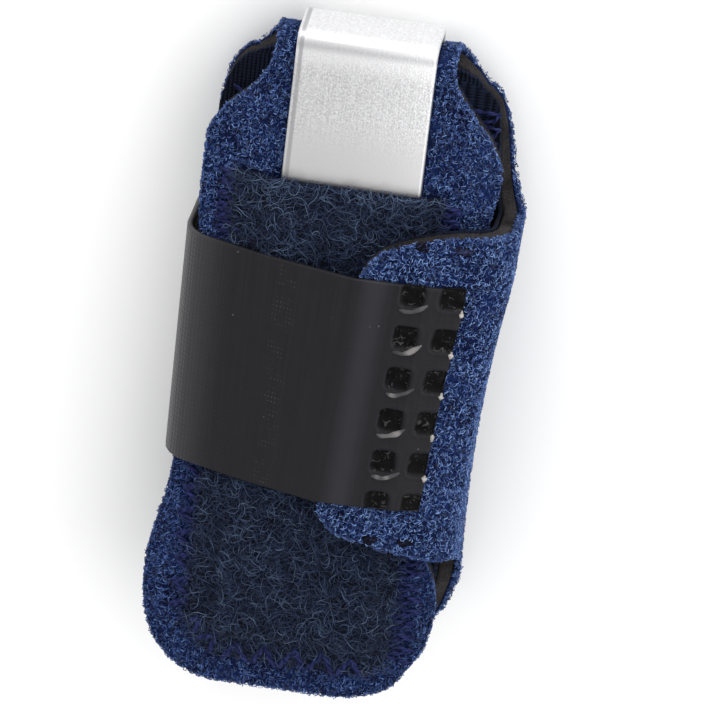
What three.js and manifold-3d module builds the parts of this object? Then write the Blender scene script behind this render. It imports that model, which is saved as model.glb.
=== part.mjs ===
// Toe straightener: a die-cut padded wrap, folded over the tip of the toe, stiffened by a bent
// aluminium stay and closed by a hook strap that is welded to the end of its right wing.
// Millimetres, +Z up. X runs across the toe, +Y points to the closed tip, and the back lies down.
// While the pieces are worked out, y = 0 is the mouth of the front pocket.

import * as THREE from 'three';
import Module from 'manifold-3d';

const wasm = await Module();
wasm.setup();

const radians = THREE.MathUtils.degToRad;

// Plies of the laminate, as depths below its outer face
const LOOP_THICK = 0.8;
const FOAM_THICK = 1.5;
const KNIT_THICK = 0.5;
const PLY_GAP = 0.1;
const FOAM_DEPTH = LOOP_THICK + PLY_GAP;
const KNIT_DEPTH = FOAM_DEPTH + FOAM_THICK + PLY_GAP;
const WALL = KNIT_DEPTH + KNIT_THICK;

// Pieces that lie on the laminate
const SEAT_GAP = 0.15;
const WRAP_GAP = 0.2;
const STRAP_THICK = 0.6;
const STRAP_WIDTH = 25;
const STRAP_MID_Y = -19.85;
const STRAP_SKEW = -0.018;
const POCKET_THICK = 0.9;
const STAY_THICK = 1.0;
const STAY_HALF_WIDTH = 7.5;
const STAY_FRONT_END = -50;
const STAY_REAR_END = -40;
const STAY_BEND_RADIUS = 0.7;
const STAY_LOW_TURN = 45;

// How far the outside of a pocket stands off the panel that it is sewn to, over the stay
const POCKET_RISE = 2 * SEAT_GAP + STAY_THICK + POCKET_THICK;

// The long section: the rear panel lies level, and the front panel slopes down to the fold at the tip
const REAR_FACE = STRAP_THICK + SEAT_GAP + POCKET_RISE;
const FOLD_RADIUS = 4.2;
const FOLD_Y = 10.85;
const FRONT_SLOPE = 8;
const FOLD_TURN = 180 - FRONT_SLOPE;
const NECK_OVERLAP = 6;
const FRONT_END = -57.5;

// The cross section is drawn at this y, then follows the slope of the front panel. The right side leans
// out towards the tip and is hollowed where the strap draws it in, and the wing leans with it.
const MID_Y = -20;
const SIDE_X = 16.5;
const SIDE_LEAN = 0.055;
const SIDE_HOLLOW = 0.0028;
const SIDE_HOLLOW_Y = -28.5;
const SIDE_HOLLOW_REACH = 18.5;
const REAR_LEFT_X = -15.6;
const NECK_LIMIT_X = 9.8;
const LOW_BEND_RADIUS = 5;
const HIGH_BEND_RADIUS = 4.5;
const ROOF_TURN = 10;
const ROOF_RADIUS = 6;
const ROOF_END_X = 9.4;
const WING_END_X = 1.65;

// The front panel is flat over the stay and droops towards its edges, but not where it nears the fold
const CROWN_FLAT = 8;
const CROWN_REACH = 8;
const CROWN_DROP = 2;
const CROWN_FULL_Y = 0;
const CROWN_GONE_Y = 12;

// The strap, as its hook face runs from the weld over the front and the left side to the back
const STRAP_INSET = 0.55;
const RIDGE_X = 1.45;
const RIDGE_RADIUS = 1.2;
const SHOULDER_X = -8;
const SHOULDER_TURN = 5;
const SHOULDER_RADIUS = 8;
const LEFT_X = -16.5;
const LEFT_RADIUS = 3.5;
const LEFT_LEAN = -0.25;
const STRAP_END_X = 6;

// Weld pits pressed into the strap over the wing
const PIT_SIDE = 2.5;
const PIT_DEPTH = 0.35;
const PIT_PITCH = 4.64;
const PIT_ROWS = 6;
const PIT_COLUMN_X = [7.65, 11.55];
const PIT_MID_SHIFT = -0.15;

// Fineness of the facets
const BEND_STEP = 12;
const RUN_STEP = 1.8;

// Cut of the front panel and its neck: distance from the pocket mouth along the panel, positive to the tip
const FRONT_CUT = [
  { along: -57.5, left: -9.2, right: 4.5 },
  { along: -57.0, left: -11.8, right: 7.2 },
  { along: -55.6, left: -14.5, right: 10.4 },
  { along: -53.6, left: -16.3, right: 11.9 },
  { along: -50.6, left: -17.3, right: 13.6 },
  { along: -46.5, left: -17.6, right: 14.2 },
  { along: -42.4, left: -17.0, right: 13.2 },
  { along: -40.8, left: -16.7, right: 12.4 },
  { along: -36.0, left: -15.8, right: 12.3 },
  { along: -20.0, left: -14.9, right: 13.0 },
  { along: -9.0, left: -15.6, right: 13.6 },
  { along: -3.0, left: -16.1, right: 14.8 },
  { along: 2.2, left: -16.1, right: 15.5 },
  { along: 6.0, left: -14.5, right: 14.2 },
  { along: 9.4, left: -11.4, right: 11.6 },
  { along: 12.2, left: -9.9, right: 9.7 },
  { along: 14.0, left: -9.7, right: 9.3 },
  { along: 19.0, left: -9.7, right: 9.3 },
  { along: 22.6, left: -10.8, right: 10.7 },
  { along: 24.6, left: -12.5, right: 12.2 },
  { along: 27.0, left: -14.4, right: 13.4 },
  { along: 30.6, left: -15.4, right: 13.6 },
];

// Cut of the rear panel: across it from its middle line, with its lower and upper edge
const REAR_CUT = [
  { across: -15.6, low: -47.0, high: 4.0 },
  { across: -14.6, low: -50.6, high: 8.3 },
  { across: -12.5, low: -53.4, high: 10.55 },
  { across: -9.8, low: -54.8, high: 10.75 },
  { across: 9.8, low: -55.0, high: 10.75 },
  { across: 10.6, low: -55.0, high: 10.2 },
  { across: 11.6, low: -54.9, high: 8.8 },
  { across: 13.2, low: -54.7, high: 5.6 },
  { across: 14.2, low: -54.3, high: 2.4 },
  { across: 15.4, low: -53.2, high: -0.6 },
  { across: 17.0, low: -49.8, high: -2.4 },
  { across: 20.0, low: -43.6, high: -3.0 },
];

// Cut of the wing: distance back from its free end, with its lower and upper edge
const WING_CUT = [
  { fromEnd: 0, low: -33.9, high: -7.8 },
  { fromEnd: 0.8, low: -35.0, high: -6.2 },
  { fromEnd: 2.2, low: -36.1, high: -4.8 },
  { fromEnd: 7.0, low: -37.1, high: -2.9 },
  { fromEnd: 11.0, low: -37.8, high: -2.2 },
  { fromEnd: 17.0, low: -38.9, high: -2.0 },
];

// Stations along each line of the rear panel and wing, as shares of the way from its lower to its upper edge
const WRAP_COLUMNS = [0, 0.32, 0.68, 1];

// Stations across the front panel, as shares of its reach to the left or the right
const FRONT_COLUMNS = [-1, -0.85, -0.7, -0.52, 0.52, 0.7, 0.85, 1];

// Sewn patches: distance along the panel, reach to the left and the right, and whether the stay lifts them
const FRONT_POCKET_ROWS = [
  { along: 0, left: 12.3, right: 9.8, bulge: 1 },
  { along: -25, left: 12.2, right: 9.8, bulge: 1 },
  { along: -50.4, left: 12.2, right: 9.8, bulge: 1 },
  { along: -52.2, left: 11.6, right: 9.6, bulge: 0 },
  { along: -53.6, left: 10.4, right: 8.9, bulge: 0 },
  { along: -54.4, left: 8.6, right: 7.4, bulge: 0 },
];
const REAR_POCKET_ROWS = [
  { along: 8, left: 12.3, right: 12.3, bulge: 1 },
  { along: -20, left: 12.3, right: 12.3, bulge: 1 },
  { along: -40.4, left: 12.3, right: 12.3, bulge: 1 },
  { along: -42.4, left: 12.3, right: 12.3, bulge: 0 },
  { along: -46, left: 11.6, right: 11.6, bulge: 0 },
];

// How far to each side of the middle line a patch lies level over the stay
const POCKET_CROWN_X = 7.95;

const SLOPE = radians(FRONT_SLOPE);
const RISE_PER_Y = Math.tan(SLOPE);

// Height of the front panel's outer face at a place along the toe
function frontFace(y) {
  const foldTop = REAR_FACE + FOLD_RADIUS + FOLD_RADIUS * Math.cos(SLOPE);
  return foldTop + (FOLD_Y + FOLD_RADIUS * Math.sin(SLOPE) - y) * RISE_PER_Y;
}

// How far the front panel droops at a place on it
function droop(x, along) {
  const past = Math.max(0, Math.abs(x) - CROWN_FLAT) / CROWN_REACH;
  const fade = 1 - THREE.MathUtils.smoothstep(along, CROWN_FULL_Y, CROWN_GONE_Y);
  return CROWN_DROP * past * past * fade;
}

// Smooth value of one column of a table at a key, with no overshoot between its rows
function readTable(rows, key, column, at) {
  const last = rows.length - 1;
  const place = THREE.MathUtils.clamp(at, rows[0][key], rows[last][key]);
  const slopes = [];
  for (let i = 0; i < last; i += 1) {
    slopes.push((rows[i + 1][column] - rows[i][column]) / (rows[i + 1][key] - rows[i][key]));
  }
  const tangentAt = (i) => {
    if (i === 0) return slopes[0];
    if (i === last) return slopes[last - 1];
    const before = slopes[i - 1];
    const after = slopes[i];
    return before * after <= 0 ? 0 : (2 * before * after) / (before + after);
  };
  let i = 0;
  while (i < last - 1 && place > rows[i + 1][key]) i += 1;
  const width = rows[i + 1][key] - rows[i][key];
  const s = (place - rows[i][key]) / width;
  const s2 = s * s;
  const s3 = s2 * s;
  return (
    (2 * s3 - 3 * s2 + 1) * rows[i][column] +
    (s3 - 2 * s2 + s) * width * tangentAt(i) +
    (3 * s2 - 2 * s3) * rows[i + 1][column] +
    (s3 - s2) * width * tangentAt(i + 1)
  );
}

// Walks a bent strip in a plane (a across, b up). Each row is a straight run and then a bend to the left
// of the heading, which is the inside of the wrap. lift, lean and hollow say how far the row's end follows
// the slope of the front panel, the lean of the sides and the hollow of the right side.
function walk(start, heading, rows) {
  const stations = [];
  let { a, b, lift = 0, lean = 0, hollow = 0 } = start;
  let angle = radians(heading);
  let along = 0;
  const put = (name) => {
    const inward = { a: -Math.sin(angle), b: Math.cos(angle) };
    stations.push({ name, a, b, inward, along, lift, lean, hollow });
  };
  put(rows[0].name);
  for (const row of rows) {
    const runFrom = { a, b, lift, lean, hollow };
    let run = row.run;
    if (row.toA !== undefined) run = (row.toA - a) / Math.cos(angle);
    if (row.toB !== undefined) run = (row.toB - b) / Math.sin(angle);
    const steps = Math.max(1, Math.ceil(run / RUN_STEP));
    for (let i = 1; i <= steps; i += 1) {
      const share = i / steps;
      a = runFrom.a + Math.cos(angle) * run * share;
      b = runFrom.b + Math.sin(angle) * run * share;
      lift = THREE.MathUtils.lerp(runFrom.lift, row.lift ?? runFrom.lift, share);
      lean = THREE.MathUtils.lerp(runFrom.lean, row.lean ?? runFrom.lean, share);
      hollow = THREE.MathUtils.lerp(runFrom.hollow, row.hollow ?? runFrom.hollow, share);
      along += run / steps;
      put(row.name);
    }
    if (!row.turn) continue;
    const side = Math.sign(row.turn);
    const centre = {
      a: a - Math.sin(angle) * row.radius * side,
      b: b + Math.cos(angle) * row.radius * side,
    };
    const bends = Math.max(1, Math.ceil(Math.abs(row.turn) / BEND_STEP));
    for (let i = 1; i <= bends; i += 1) {
      angle += radians(row.turn / bends);
      a = centre.a + Math.sin(angle) * row.radius * side;
      b = centre.b - Math.cos(angle) * row.radius * side;
      along += (row.radius * radians(Math.abs(row.turn))) / bends;
      put(row.name);
    }
  }
  return stations;
}

// Closed geometry between two grids of points that share their rows and columns
function solidBetween(outer, inner) {
  const rows = outer.length;
  const columns = outer[0].length;
  const positions = [...outer.flat(), ...inner.flat()].flatMap((point) => point.toArray());
  const top = (i, j) => i * columns + j;
  const under = (i, j) => rows * columns + top(i, j);
  const faces = [];
  const quad = (p, q, r, s) => faces.push([p, q, r], [p, r, s]);
  for (let i = 0; i < rows - 1; i += 1) {
    for (let j = 0; j < columns - 1; j += 1) {
      quad(top(i, j), top(i + 1, j), top(i + 1, j + 1), top(i, j + 1));
      quad(under(i, j), under(i, j + 1), under(i + 1, j + 1), under(i + 1, j));
    }
    quad(top(i, 0), under(i, 0), under(i + 1, 0), top(i + 1, 0));
    quad(top(i, columns - 1), top(i + 1, columns - 1), under(i + 1, columns - 1), under(i, columns - 1));
  }
  for (let j = 0; j < columns - 1; j += 1) {
    quad(top(0, j), top(0, j + 1), under(0, j + 1), under(0, j));
    quad(top(rows - 1, j), under(rows - 1, j), under(rows - 1, j + 1), top(rows - 1, j + 1));
  }
  const corner = (index) => new THREE.Vector3().fromArray(positions, index * 3);
  const volume = faces.reduce(
    (sum, [p, q, r]) => sum + corner(p).dot(corner(q).cross(corner(r))),
    0,
  );
  const outward = volume > 0 ? faces : faces.map(([p, q, r]) => [p, r, q]);
  const geometry = new THREE.BufferGeometry();
  geometry.setAttribute('position', new THREE.Float32BufferAttribute(positions, 3));
  geometry.setIndex(outward.flat());
  return geometry;
}

function toSolid(geometry) {
  return new wasm.Manifold(
    new wasm.Mesh({
      numProp: 3,
      vertProperties: new Float32Array(geometry.attributes.position.array),
      triVerts: new Uint32Array(geometry.index.array),
    }),
  );
}

function toGeometry(solid) {
  const mesh = solid.getMesh();
  const geometry = new THREE.BufferGeometry();
  geometry.setAttribute('position', new THREE.Float32BufferAttribute(mesh.vertProperties, 3));
  geometry.setIndex(Array.from(mesh.triVerts));
  return geometry;
}

// A place on the cross section, carried along the toe to y, at a depth below the walked face
function wrapPoint(station, y, depth) {
  const { a, b, inward, lift, lean, hollow } = station;
  const off = y - MID_Y;
  const reach = Math.min(Math.abs(y - SIDE_HOLLOW_Y), SIDE_HOLLOW_REACH);
  const shift = lean * SIDE_LEAN * off + hollow * SIDE_HOLLOW * reach * reach;
  return new THREE.Vector3(
    a + inward.a * depth + shift,
    y,
    b + inward.b * depth - lift * RISE_PER_Y * off,
  );
}

// A place on the long section, carried across the toe to x
function longPoint(station, x, depth) {
  const { a, b, inward } = station;
  return new THREE.Vector3(x, a + inward.a * depth, b + inward.b * depth);
}

// The rear panel and its wing, walked from the left edge round the right side to the free end
function walkWrap() {
  const roof = radians(ROOF_TURN);
  const roofStartX = SIDE_X - HIGH_BEND_RADIUS * (1 - Math.sin(roof));
  const roofRise = (roofStartX - ROOF_END_X) * Math.tan(roof) + ROOF_RADIUS * (1 - Math.cos(roof));
  const wingFace = frontFace(MID_Y) + POCKET_RISE + WRAP_GAP + WALL;
  return walk({ a: REAR_LEFT_X, b: REAR_FACE }, 0, [
    { name: 'rear_left', toA: -NECK_LIMIT_X },
    { name: 'rear', toA: NECK_LIMIT_X },
    {
      name: 'rear_right',
      toA: SIDE_X - LOW_BEND_RADIUS,
      turn: 90,
      radius: LOW_BEND_RADIUS,
      lean: 1,
      hollow: 1,
    },
    {
      name: 'side',
      toB: wingFace - roofRise - HIGH_BEND_RADIUS * Math.cos(roof),
      turn: 90 - ROOF_TURN,
      radius: HIGH_BEND_RADIUS,
      lift: 1,
    },
    { name: 'roof', toA: ROOF_END_X, turn: ROOF_TURN, radius: ROOF_RADIUS, hollow: 0 },
    { name: 'wing', toA: WING_END_X },
  ]);
}

// Lower and upper edge of the rear panel and its wing at each station
function cutWrap(stations) {
  const end = stations[stations.length - 1].along;
  const rearEnd = REAR_CUT[REAR_CUT.length - 1].across - REAR_LEFT_X;
  const wingFoot = WING_CUT[WING_CUT.length - 1];
  const wingStart = end - wingFoot.fromEnd;
  const edge = (along, column) => {
    if (along >= wingStart) return readTable(WING_CUT, 'fromEnd', column, end - along);
    const onRear = readTable(REAR_CUT, 'across', column, along + REAR_LEFT_X);
    const share = THREE.MathUtils.clamp((along - rearEnd) / (wingStart - rearEnd), 0, 1);
    return THREE.MathUtils.lerp(onRear, wingFoot[column], share);
  };
  return stations.map(({ along }) => ({ low: edge(along, 'low'), high: edge(along, 'high') }));
}

// The neck and the front panel, walked from under the rear panel over the tip and down the front
function walkFront() {
  const start = { a: FOLD_Y - NECK_OVERLAP, b: REAR_FACE };
  const frontLength = -FRONT_END + (FOLD_Y + FOLD_RADIUS * Math.sin(SLOPE)) / Math.cos(SLOPE);
  return walk(start, 0, [
    { name: 'under', run: NECK_OVERLAP, turn: FOLD_TURN, radius: FOLD_RADIUS },
    { name: 'front', run: frontLength },
  ]);
}

const wrapStations = walkWrap();
const wrapEdges = cutWrap(wrapStations);
const frontStations = walkFront();

// One ply of the laminate between two depths: the rear panel and wing, joined to the neck and front panel
function plyGeometry(depth, thick) {
  const wrapGrid = (at) =>
    wrapStations.map((station, i) =>
      WRAP_COLUMNS.map((share) => {
        const { low, high } = wrapEdges[i];
        return wrapPoint(station, THREE.MathUtils.lerp(low, high, share), at);
      }),
    );
  const frontEnd = frontStations[frontStations.length - 1].along;
  const frontGrid = (at) =>
    frontStations.map((station) => {
      const along = FRONT_END + frontEnd - station.along;
      const left = readTable(FRONT_CUT, 'along', 'left', along);
      const right = readTable(FRONT_CUT, 'along', 'right', along);
      return FRONT_COLUMNS.map((share) => {
        const x = share * (share < 0 ? -left : right);
        const point = longPoint(station, x, at);
        point.z -= droop(x, along);
        return point;
      });
    });
  const rear = toSolid(solidBetween(wrapGrid(depth), wrapGrid(depth + thick)));
  const front = toSolid(solidBetween(frontGrid(depth), frontGrid(depth + thick)));
  return toGeometry(rear.add(front));
}

// The bent strip, walked along its inner face from the end of its rear leg to the end of its front leg.
// Two soft bends turn it up behind the tip, and a sharper one brings it down onto the front.
function stayGeometry() {
  const turns = [STAY_LOW_TURN, STAY_LOW_TURN, FOLD_TURN - 2 * STAY_LOW_TURN];
  const room = FOLD_RADIUS + SEAT_GAP - STAY_BEND_RADIUS;
  const reaches = turns.map((turn) => room * Math.tan(radians(turn / 2)));
  const bends = turns.map((turn) => ({ turn, radius: STAY_BEND_RADIUS }));
  const rows = [
    { name: 'rear_leg', toA: FOLD_Y + reaches[0], ...bends[0] },
    { name: 'low_tip', run: reaches[0] + reaches[1], ...bends[1] },
    { name: 'high_tip', run: reaches[1] + reaches[2], ...bends[2] },
    { name: 'front_leg', toA: STAY_FRONT_END },
  ];
  const stations = walk({ a: STAY_REAR_END, b: REAR_FACE - SEAT_GAP }, 0, rows);
  const grid = (depth) =>
    stations.map((station) => [
      longPoint(station, -STAY_HALF_WIDTH, depth),
      longPoint(station, STAY_HALF_WIDTH, depth),
    ]);
  return solidBetween(grid(-STAY_THICK), grid(0));
}

// A sewn patch that lies flat along its margin and stands over the stay in the middle
function pocketGeometry(rows, place) {
  const side = (edge) => {
    const crown = Math.min(POCKET_CROWN_X, 0.9 * edge);
    return { edge, foot: (crown + edge) / 2, crown };
  };
  const grid = (extra) =>
    rows.map((row) => {
      const left = side(row.left);
      const right = side(row.right);
      const flat = SEAT_GAP + extra;
      const lifted = flat + row.bulge * (STAY_THICK + SEAT_GAP);
      return [
        place(-left.edge, row.along, flat),
        place(-left.foot, row.along, flat),
        place(-left.crown, row.along, lifted),
        place(right.crown, row.along, lifted),
        place(right.foot, row.along, flat),
        place(right.edge, row.along, flat),
      ];
    });
  return solidBetween(grid(POCKET_THICK), grid(0));
}

function onFrontPanel(x, along, off) {
  const y = along * Math.cos(SLOPE) + off * Math.sin(SLOPE);
  const z = frontFace(0) - along * Math.sin(SLOPE) + off * Math.cos(SLOPE);
  return new THREE.Vector3(x, y, z - droop(x, along));
}

function onRearPanel(x, along, off) {
  return new THREE.Vector3(x, along, REAR_FACE - off);
}

// The strap's hook face, walked from its welded end over the wing, down to the front pocket and round
function walkStrap() {
  const roofFoot = wrapStations.filter((station) => station.name === 'side').pop();
  const roofHeading = 180 - ROOF_TURN;
  const roof = radians(roofHeading);
  const start = {
    a: roofFoot.a - roofFoot.inward.a * SEAT_GAP + STRAP_INSET * Math.cos(roof),
    b: roofFoot.b - roofFoot.inward.b * SEAT_GAP + STRAP_INSET * Math.sin(roof),
    lift: 1,
    lean: 1,
    hollow: 1 - (STRAP_INSET * Math.cos(roof)) / (ROOF_END_X - roofFoot.a),
  };
  const pocketFace = frontFace(MID_Y) + POCKET_RISE + WRAP_GAP;
  const fall = Math.atan2(WALL + SEAT_GAP, RIDGE_X - SHOULDER_X);
  const ridgeTurn = THREE.MathUtils.radToDeg(fall);
  const leftTurn = 90 - ridgeTurn - SHOULDER_TURN;
  return walk(start, roofHeading, [
    {
      name: 'weld',
      toA: ROOF_END_X - roofFoot.inward.a * SEAT_GAP,
      turn: ROOF_TURN,
      radius: ROOF_RADIUS + SEAT_GAP,
      hollow: 0,
    },
    { name: 'over_wing', toA: RIDGE_X, turn: ridgeTurn, radius: RIDGE_RADIUS },
    { name: 'front', toB: pocketFace, turn: SHOULDER_TURN, radius: SHOULDER_RADIUS, lean: 0 },
    {
      name: 'shoulder',
      toA: LEFT_X + LEFT_RADIUS * (1 - Math.cos(radians(leftTurn))),
      turn: leftTurn,
      radius: LEFT_RADIUS,
      lean: LEFT_LEAN,
    },
    { name: 'left', toB: STRAP_THICK + LEFT_RADIUS, turn: 90, radius: LEFT_RADIUS, lift: 0, lean: 0 },
    { name: 'back', toA: STRAP_END_X },
  ]);
}

// A block that presses one weld pit into the outside of the strap
function pitSolid(station, y) {
  const out = new THREE.Vector3(-station.inward.a, RISE_PER_Y, -station.inward.b).normalize();
  const lengthwise = new THREE.Vector3(0, 1, -RISE_PER_Y).normalize();
  const across = lengthwise.clone().cross(out).normalize();
  const geometry = new THREE.BoxGeometry(PIT_SIDE, PIT_SIDE, 2 * PIT_DEPTH);
  const place = new THREE.Matrix4().makeBasis(across, across.clone().cross(out).negate(), out);
  place.setPosition(wrapPoint(station, y, -STRAP_THICK));
  geometry.applyMatrix4(place);
  return toSolid(weldCorners(geometry));
}

// The same closed geometry with one vertex for each place
function weldCorners(geometry) {
  const places = new Map();
  const positions = [];
  const index = [];
  const corner = new THREE.Vector3();
  for (const i of geometry.index.array) {
    corner.fromBufferAttribute(geometry.attributes.position, i);
    const key = corner.toArray().map((value) => value.toFixed(4)).join(' ');
    if (!places.has(key)) {
      places.set(key, places.size);
      positions.push(...corner.toArray());
    }
    index.push(places.get(key));
  }
  const welded = new THREE.BufferGeometry();
  welded.setAttribute('position', new THREE.Float32BufferAttribute(positions, 3));
  welded.setIndex(index);
  return welded;
}

function strapGeometry() {
  const stations = walkStrap();
  const middleAt = (station) => STRAP_MID_Y + STRAP_SKEW * station.along;
  const grid = (depth) =>
    stations.map((station) => [
      wrapPoint(station, middleAt(station) - STRAP_WIDTH / 2, depth),
      wrapPoint(station, middleAt(station) + STRAP_WIDTH / 2, depth),
    ]);
  let strap = toSolid(solidBetween(grid(-STRAP_THICK), grid(0)));
  for (const columnX of PIT_COLUMN_X) {
    const onWeld = stations.filter((station) => station.a > RIDGE_X && station.lift === 1);
    const gapTo = (station) => Math.abs(station.a - columnX);
    const station = onWeld.reduce((best, next) => (gapTo(next) < gapTo(best) ? next : best));
    for (let row = 0; row < PIT_ROWS; row += 1) {
      const y = middleAt(station) + PIT_MID_SHIFT + (row - (PIT_ROWS - 1) / 2) * PIT_PITCH;
      strap = strap.subtract(pitSolid(station, y));
    }
  }
  return toGeometry(strap);
}

// Surface finishes
const FINISHES = {
  loop_face: { color: 0x2d4682, roughness: 0.95, metalness: 0 },
  foam_core: { color: 0x23201c, roughness: 0.9, metalness: 0 },
  knit_lining: { color: 0x0f1628, roughness: 0.85, metalness: 0 },
  aluminium_stay: { color: 0xc8c8cd, roughness: 0.35, metalness: 1 },
  front_pocket: { color: 0x232d46, roughness: 0.95, metalness: 0 },
  rear_pocket: { color: 0x232d46, roughness: 0.95, metalness: 0 },
  hook_strap: { color: 0x2a2a2e, roughness: 0.45, metalness: 0 },
};

function piece(name, geometry) {
  const mesh = new THREE.Mesh(geometry, new THREE.MeshStandardMaterial(FINISHES[name]));
  mesh.name = name;
  return mesh;
}

const part = new THREE.Group();
part.add(
  piece('loop_face', plyGeometry(0, LOOP_THICK)),
  piece('foam_core', plyGeometry(FOAM_DEPTH, FOAM_THICK)),
  piece('knit_lining', plyGeometry(KNIT_DEPTH, KNIT_THICK)),
  piece('aluminium_stay', stayGeometry()),
  piece('front_pocket', pocketGeometry(FRONT_POCKET_ROWS, onFrontPanel)),
  piece('rear_pocket', pocketGeometry(REAR_POCKET_ROWS, onRearPanel)),
  piece('hook_strap', strapGeometry()),
);

// The origin is under the middle of the whole part, on the surface that it lies on
const reach = new THREE.Box3().setFromObject(part);
const middle = reach.getCenter(new THREE.Vector3());
part.position.set(-middle.x, -middle.y, -reach.min.z);
part.updateMatrixWorld(true);

export default part;
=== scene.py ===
# %% [markdown]
# # A toe straightener, dressed in Blender
# The real thing is a small padded splint. A die-cut wrap of blue loop cloth, foam and ribbed knit is folded
# over the tip of the toe, a bent aluminium strip stiffens it, and a black hook strap closes it.
# The solids are already exact, so the lesson is about surfaces: cut edges, pile, stitches, metal and tape.

# %% Load the frame
import bpy
import bmesh
import math
import numpy as np
from mathutils import Matrix, Vector


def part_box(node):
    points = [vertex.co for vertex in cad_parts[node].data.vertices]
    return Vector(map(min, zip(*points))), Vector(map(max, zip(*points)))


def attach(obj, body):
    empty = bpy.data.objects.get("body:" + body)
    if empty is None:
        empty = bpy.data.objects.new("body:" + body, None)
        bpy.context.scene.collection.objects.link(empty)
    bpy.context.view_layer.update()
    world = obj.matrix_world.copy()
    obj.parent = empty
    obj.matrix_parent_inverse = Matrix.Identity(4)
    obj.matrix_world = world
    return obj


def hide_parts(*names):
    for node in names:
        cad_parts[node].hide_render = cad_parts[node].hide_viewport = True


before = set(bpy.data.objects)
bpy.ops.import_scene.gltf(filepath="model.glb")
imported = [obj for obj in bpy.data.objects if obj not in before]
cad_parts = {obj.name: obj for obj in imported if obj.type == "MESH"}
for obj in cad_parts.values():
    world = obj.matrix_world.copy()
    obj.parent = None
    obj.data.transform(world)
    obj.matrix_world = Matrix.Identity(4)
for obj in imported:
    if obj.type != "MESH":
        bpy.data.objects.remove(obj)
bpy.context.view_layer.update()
print("nodes", sorted(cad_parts))

# %% [markdown]
# ## Sizes
# These are the maker's sizes in millimetres. They are the same ones that the solids were made from, so a
# sheet that is walked with them lands exactly on its solid. Repeating the sizes is better than reading
# points from the solids' meshes, because a finer sheet can then be made from the same curve.

# %% Named sizes
LOOP_THICK, FOAM_THICK, KNIT_THICK, PLY_GAP = 0.8, 1.5, 0.5, 0.1
FOAM_DEPTH = LOOP_THICK + PLY_GAP
GROUND_DEPTH = 0.3
KNIT_DEPTH = FOAM_DEPTH + FOAM_THICK + PLY_GAP
WALL = KNIT_DEPTH + KNIT_THICK
SEAT_GAP, WRAP_GAP = 0.15, 0.2
STRAP_THICK, STRAP_WIDTH, STRAP_MID_Y, STRAP_SKEW = 0.6, 25.0, -19.85, -0.018
POCKET_THICK = 0.9
STAY_THICK, STAY_WIDTH, STAY_FRONT_END, STAY_REAR_END = 1.0, 15.0, -50.0, -40.0
STAY_BEND_RADIUS, STAY_LOW_TURN = 0.7, 45.0
POCKET_CROWN_X = 7.95
POCKET_RISE = 2 * SEAT_GAP + STAY_THICK + POCKET_THICK
REAR_FACE = STRAP_THICK + SEAT_GAP + POCKET_RISE
FOLD_RADIUS, FOLD_Y, FRONT_SLOPE, FRONT_END = 4.2, 10.85, 8.0, -57.5
FOLD_TURN, NECK_OVERLAP = 180 - FRONT_SLOPE, 6.0
MID_Y, SIDE_X, SIDE_LEAN = -20.0, 16.5, 0.055
SIDE_HOLLOW, SIDE_HOLLOW_Y, SIDE_HOLLOW_REACH = 0.0028, -28.5, 18.5
REAR_LEFT_X, NECK_LIMIT_X = -15.6, 9.8
LOW_BEND_RADIUS, HIGH_BEND_RADIUS = 5.0, 4.5
ROOF_TURN, ROOF_RADIUS, ROOF_END_X, WING_END_X = 10.0, 6.0, 9.4, 1.65
CROWN_FLAT, CROWN_REACH, CROWN_DROP, CROWN_FULL_Y, CROWN_GONE_Y = 8.0, 8.0, 2.0, 0.0, 12.0
STRAP_INSET, RIDGE_X, RIDGE_RADIUS = 0.55, 1.45, 1.2
SHOULDER_X, SHOULDER_TURN, SHOULDER_RADIUS = -8.0, 5.0, 8.0
LEFT_X, LEFT_RADIUS, LEFT_LEAN, STRAP_END_X = -16.5, 3.5, -0.25, 6.0
PIT_SIDE, PIT_DEPTH, PIT_PITCH, PIT_ROWS, PIT_MID_SHIFT = 2.5, 0.35, 4.64, 6, -0.15
PIT_COLUMN_X = (7.65, 11.55)
SLOPE = math.radians(FRONT_SLOPE)
RISE_PER_Y = math.tan(SLOPE)
print("laminate", round(WALL, 2), "mm thick")

# %% Cut tables
# Front panel and neck: distance along from the pocket mouth, left edge, right edge
FRONT_CUT = np.array([
    (-57.5, -9.2, 4.5), (-57.0, -11.8, 7.2), (-55.6, -14.5, 10.4), (-53.6, -16.3, 11.9),
    (-50.6, -17.3, 13.6), (-46.5, -17.6, 14.2), (-42.4, -17.0, 13.2), (-40.8, -16.7, 12.4),
    (-36.0, -15.8, 12.3), (-20.0, -14.9, 13.0), (-9.0, -15.6, 13.6), (-3.0, -16.1, 14.8),
    (2.2, -16.1, 15.5), (6.0, -14.5, 14.2), (9.4, -11.4, 11.6), (12.2, -9.9, 9.7), (14.0, -9.7, 9.3),
    (19.0, -9.7, 9.3), (22.6, -10.8, 10.7), (24.6, -12.5, 12.2), (27.0, -14.4, 13.4), (30.6, -15.4, 13.6),
])
# Rear panel: distance across from its middle line, lower edge, upper edge
REAR_CUT = np.array([
    (-15.6, -47.0, 4.0), (-14.6, -50.6, 8.3), (-12.5, -53.4, 10.55), (-9.8, -54.8, 10.75),
    (9.8, -55.0, 10.75), (10.6, -55.0, 10.2), (11.6, -54.9, 8.8), (13.2, -54.7, 5.6),
    (14.2, -54.3, 2.4), (15.4, -53.2, -0.6), (17.0, -49.8, -2.4), (20.0, -43.6, -3.0),
])
# Wing: distance back from its free end, lower edge, upper edge
WING_CUT = np.array([
    (0.0, -33.9, -7.8), (0.8, -35.0, -6.2), (2.2, -36.1, -4.8), (7.0, -37.1, -2.9), (11.0, -37.8, -2.2),
    (17.0, -38.9, -2.0),
])
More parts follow.
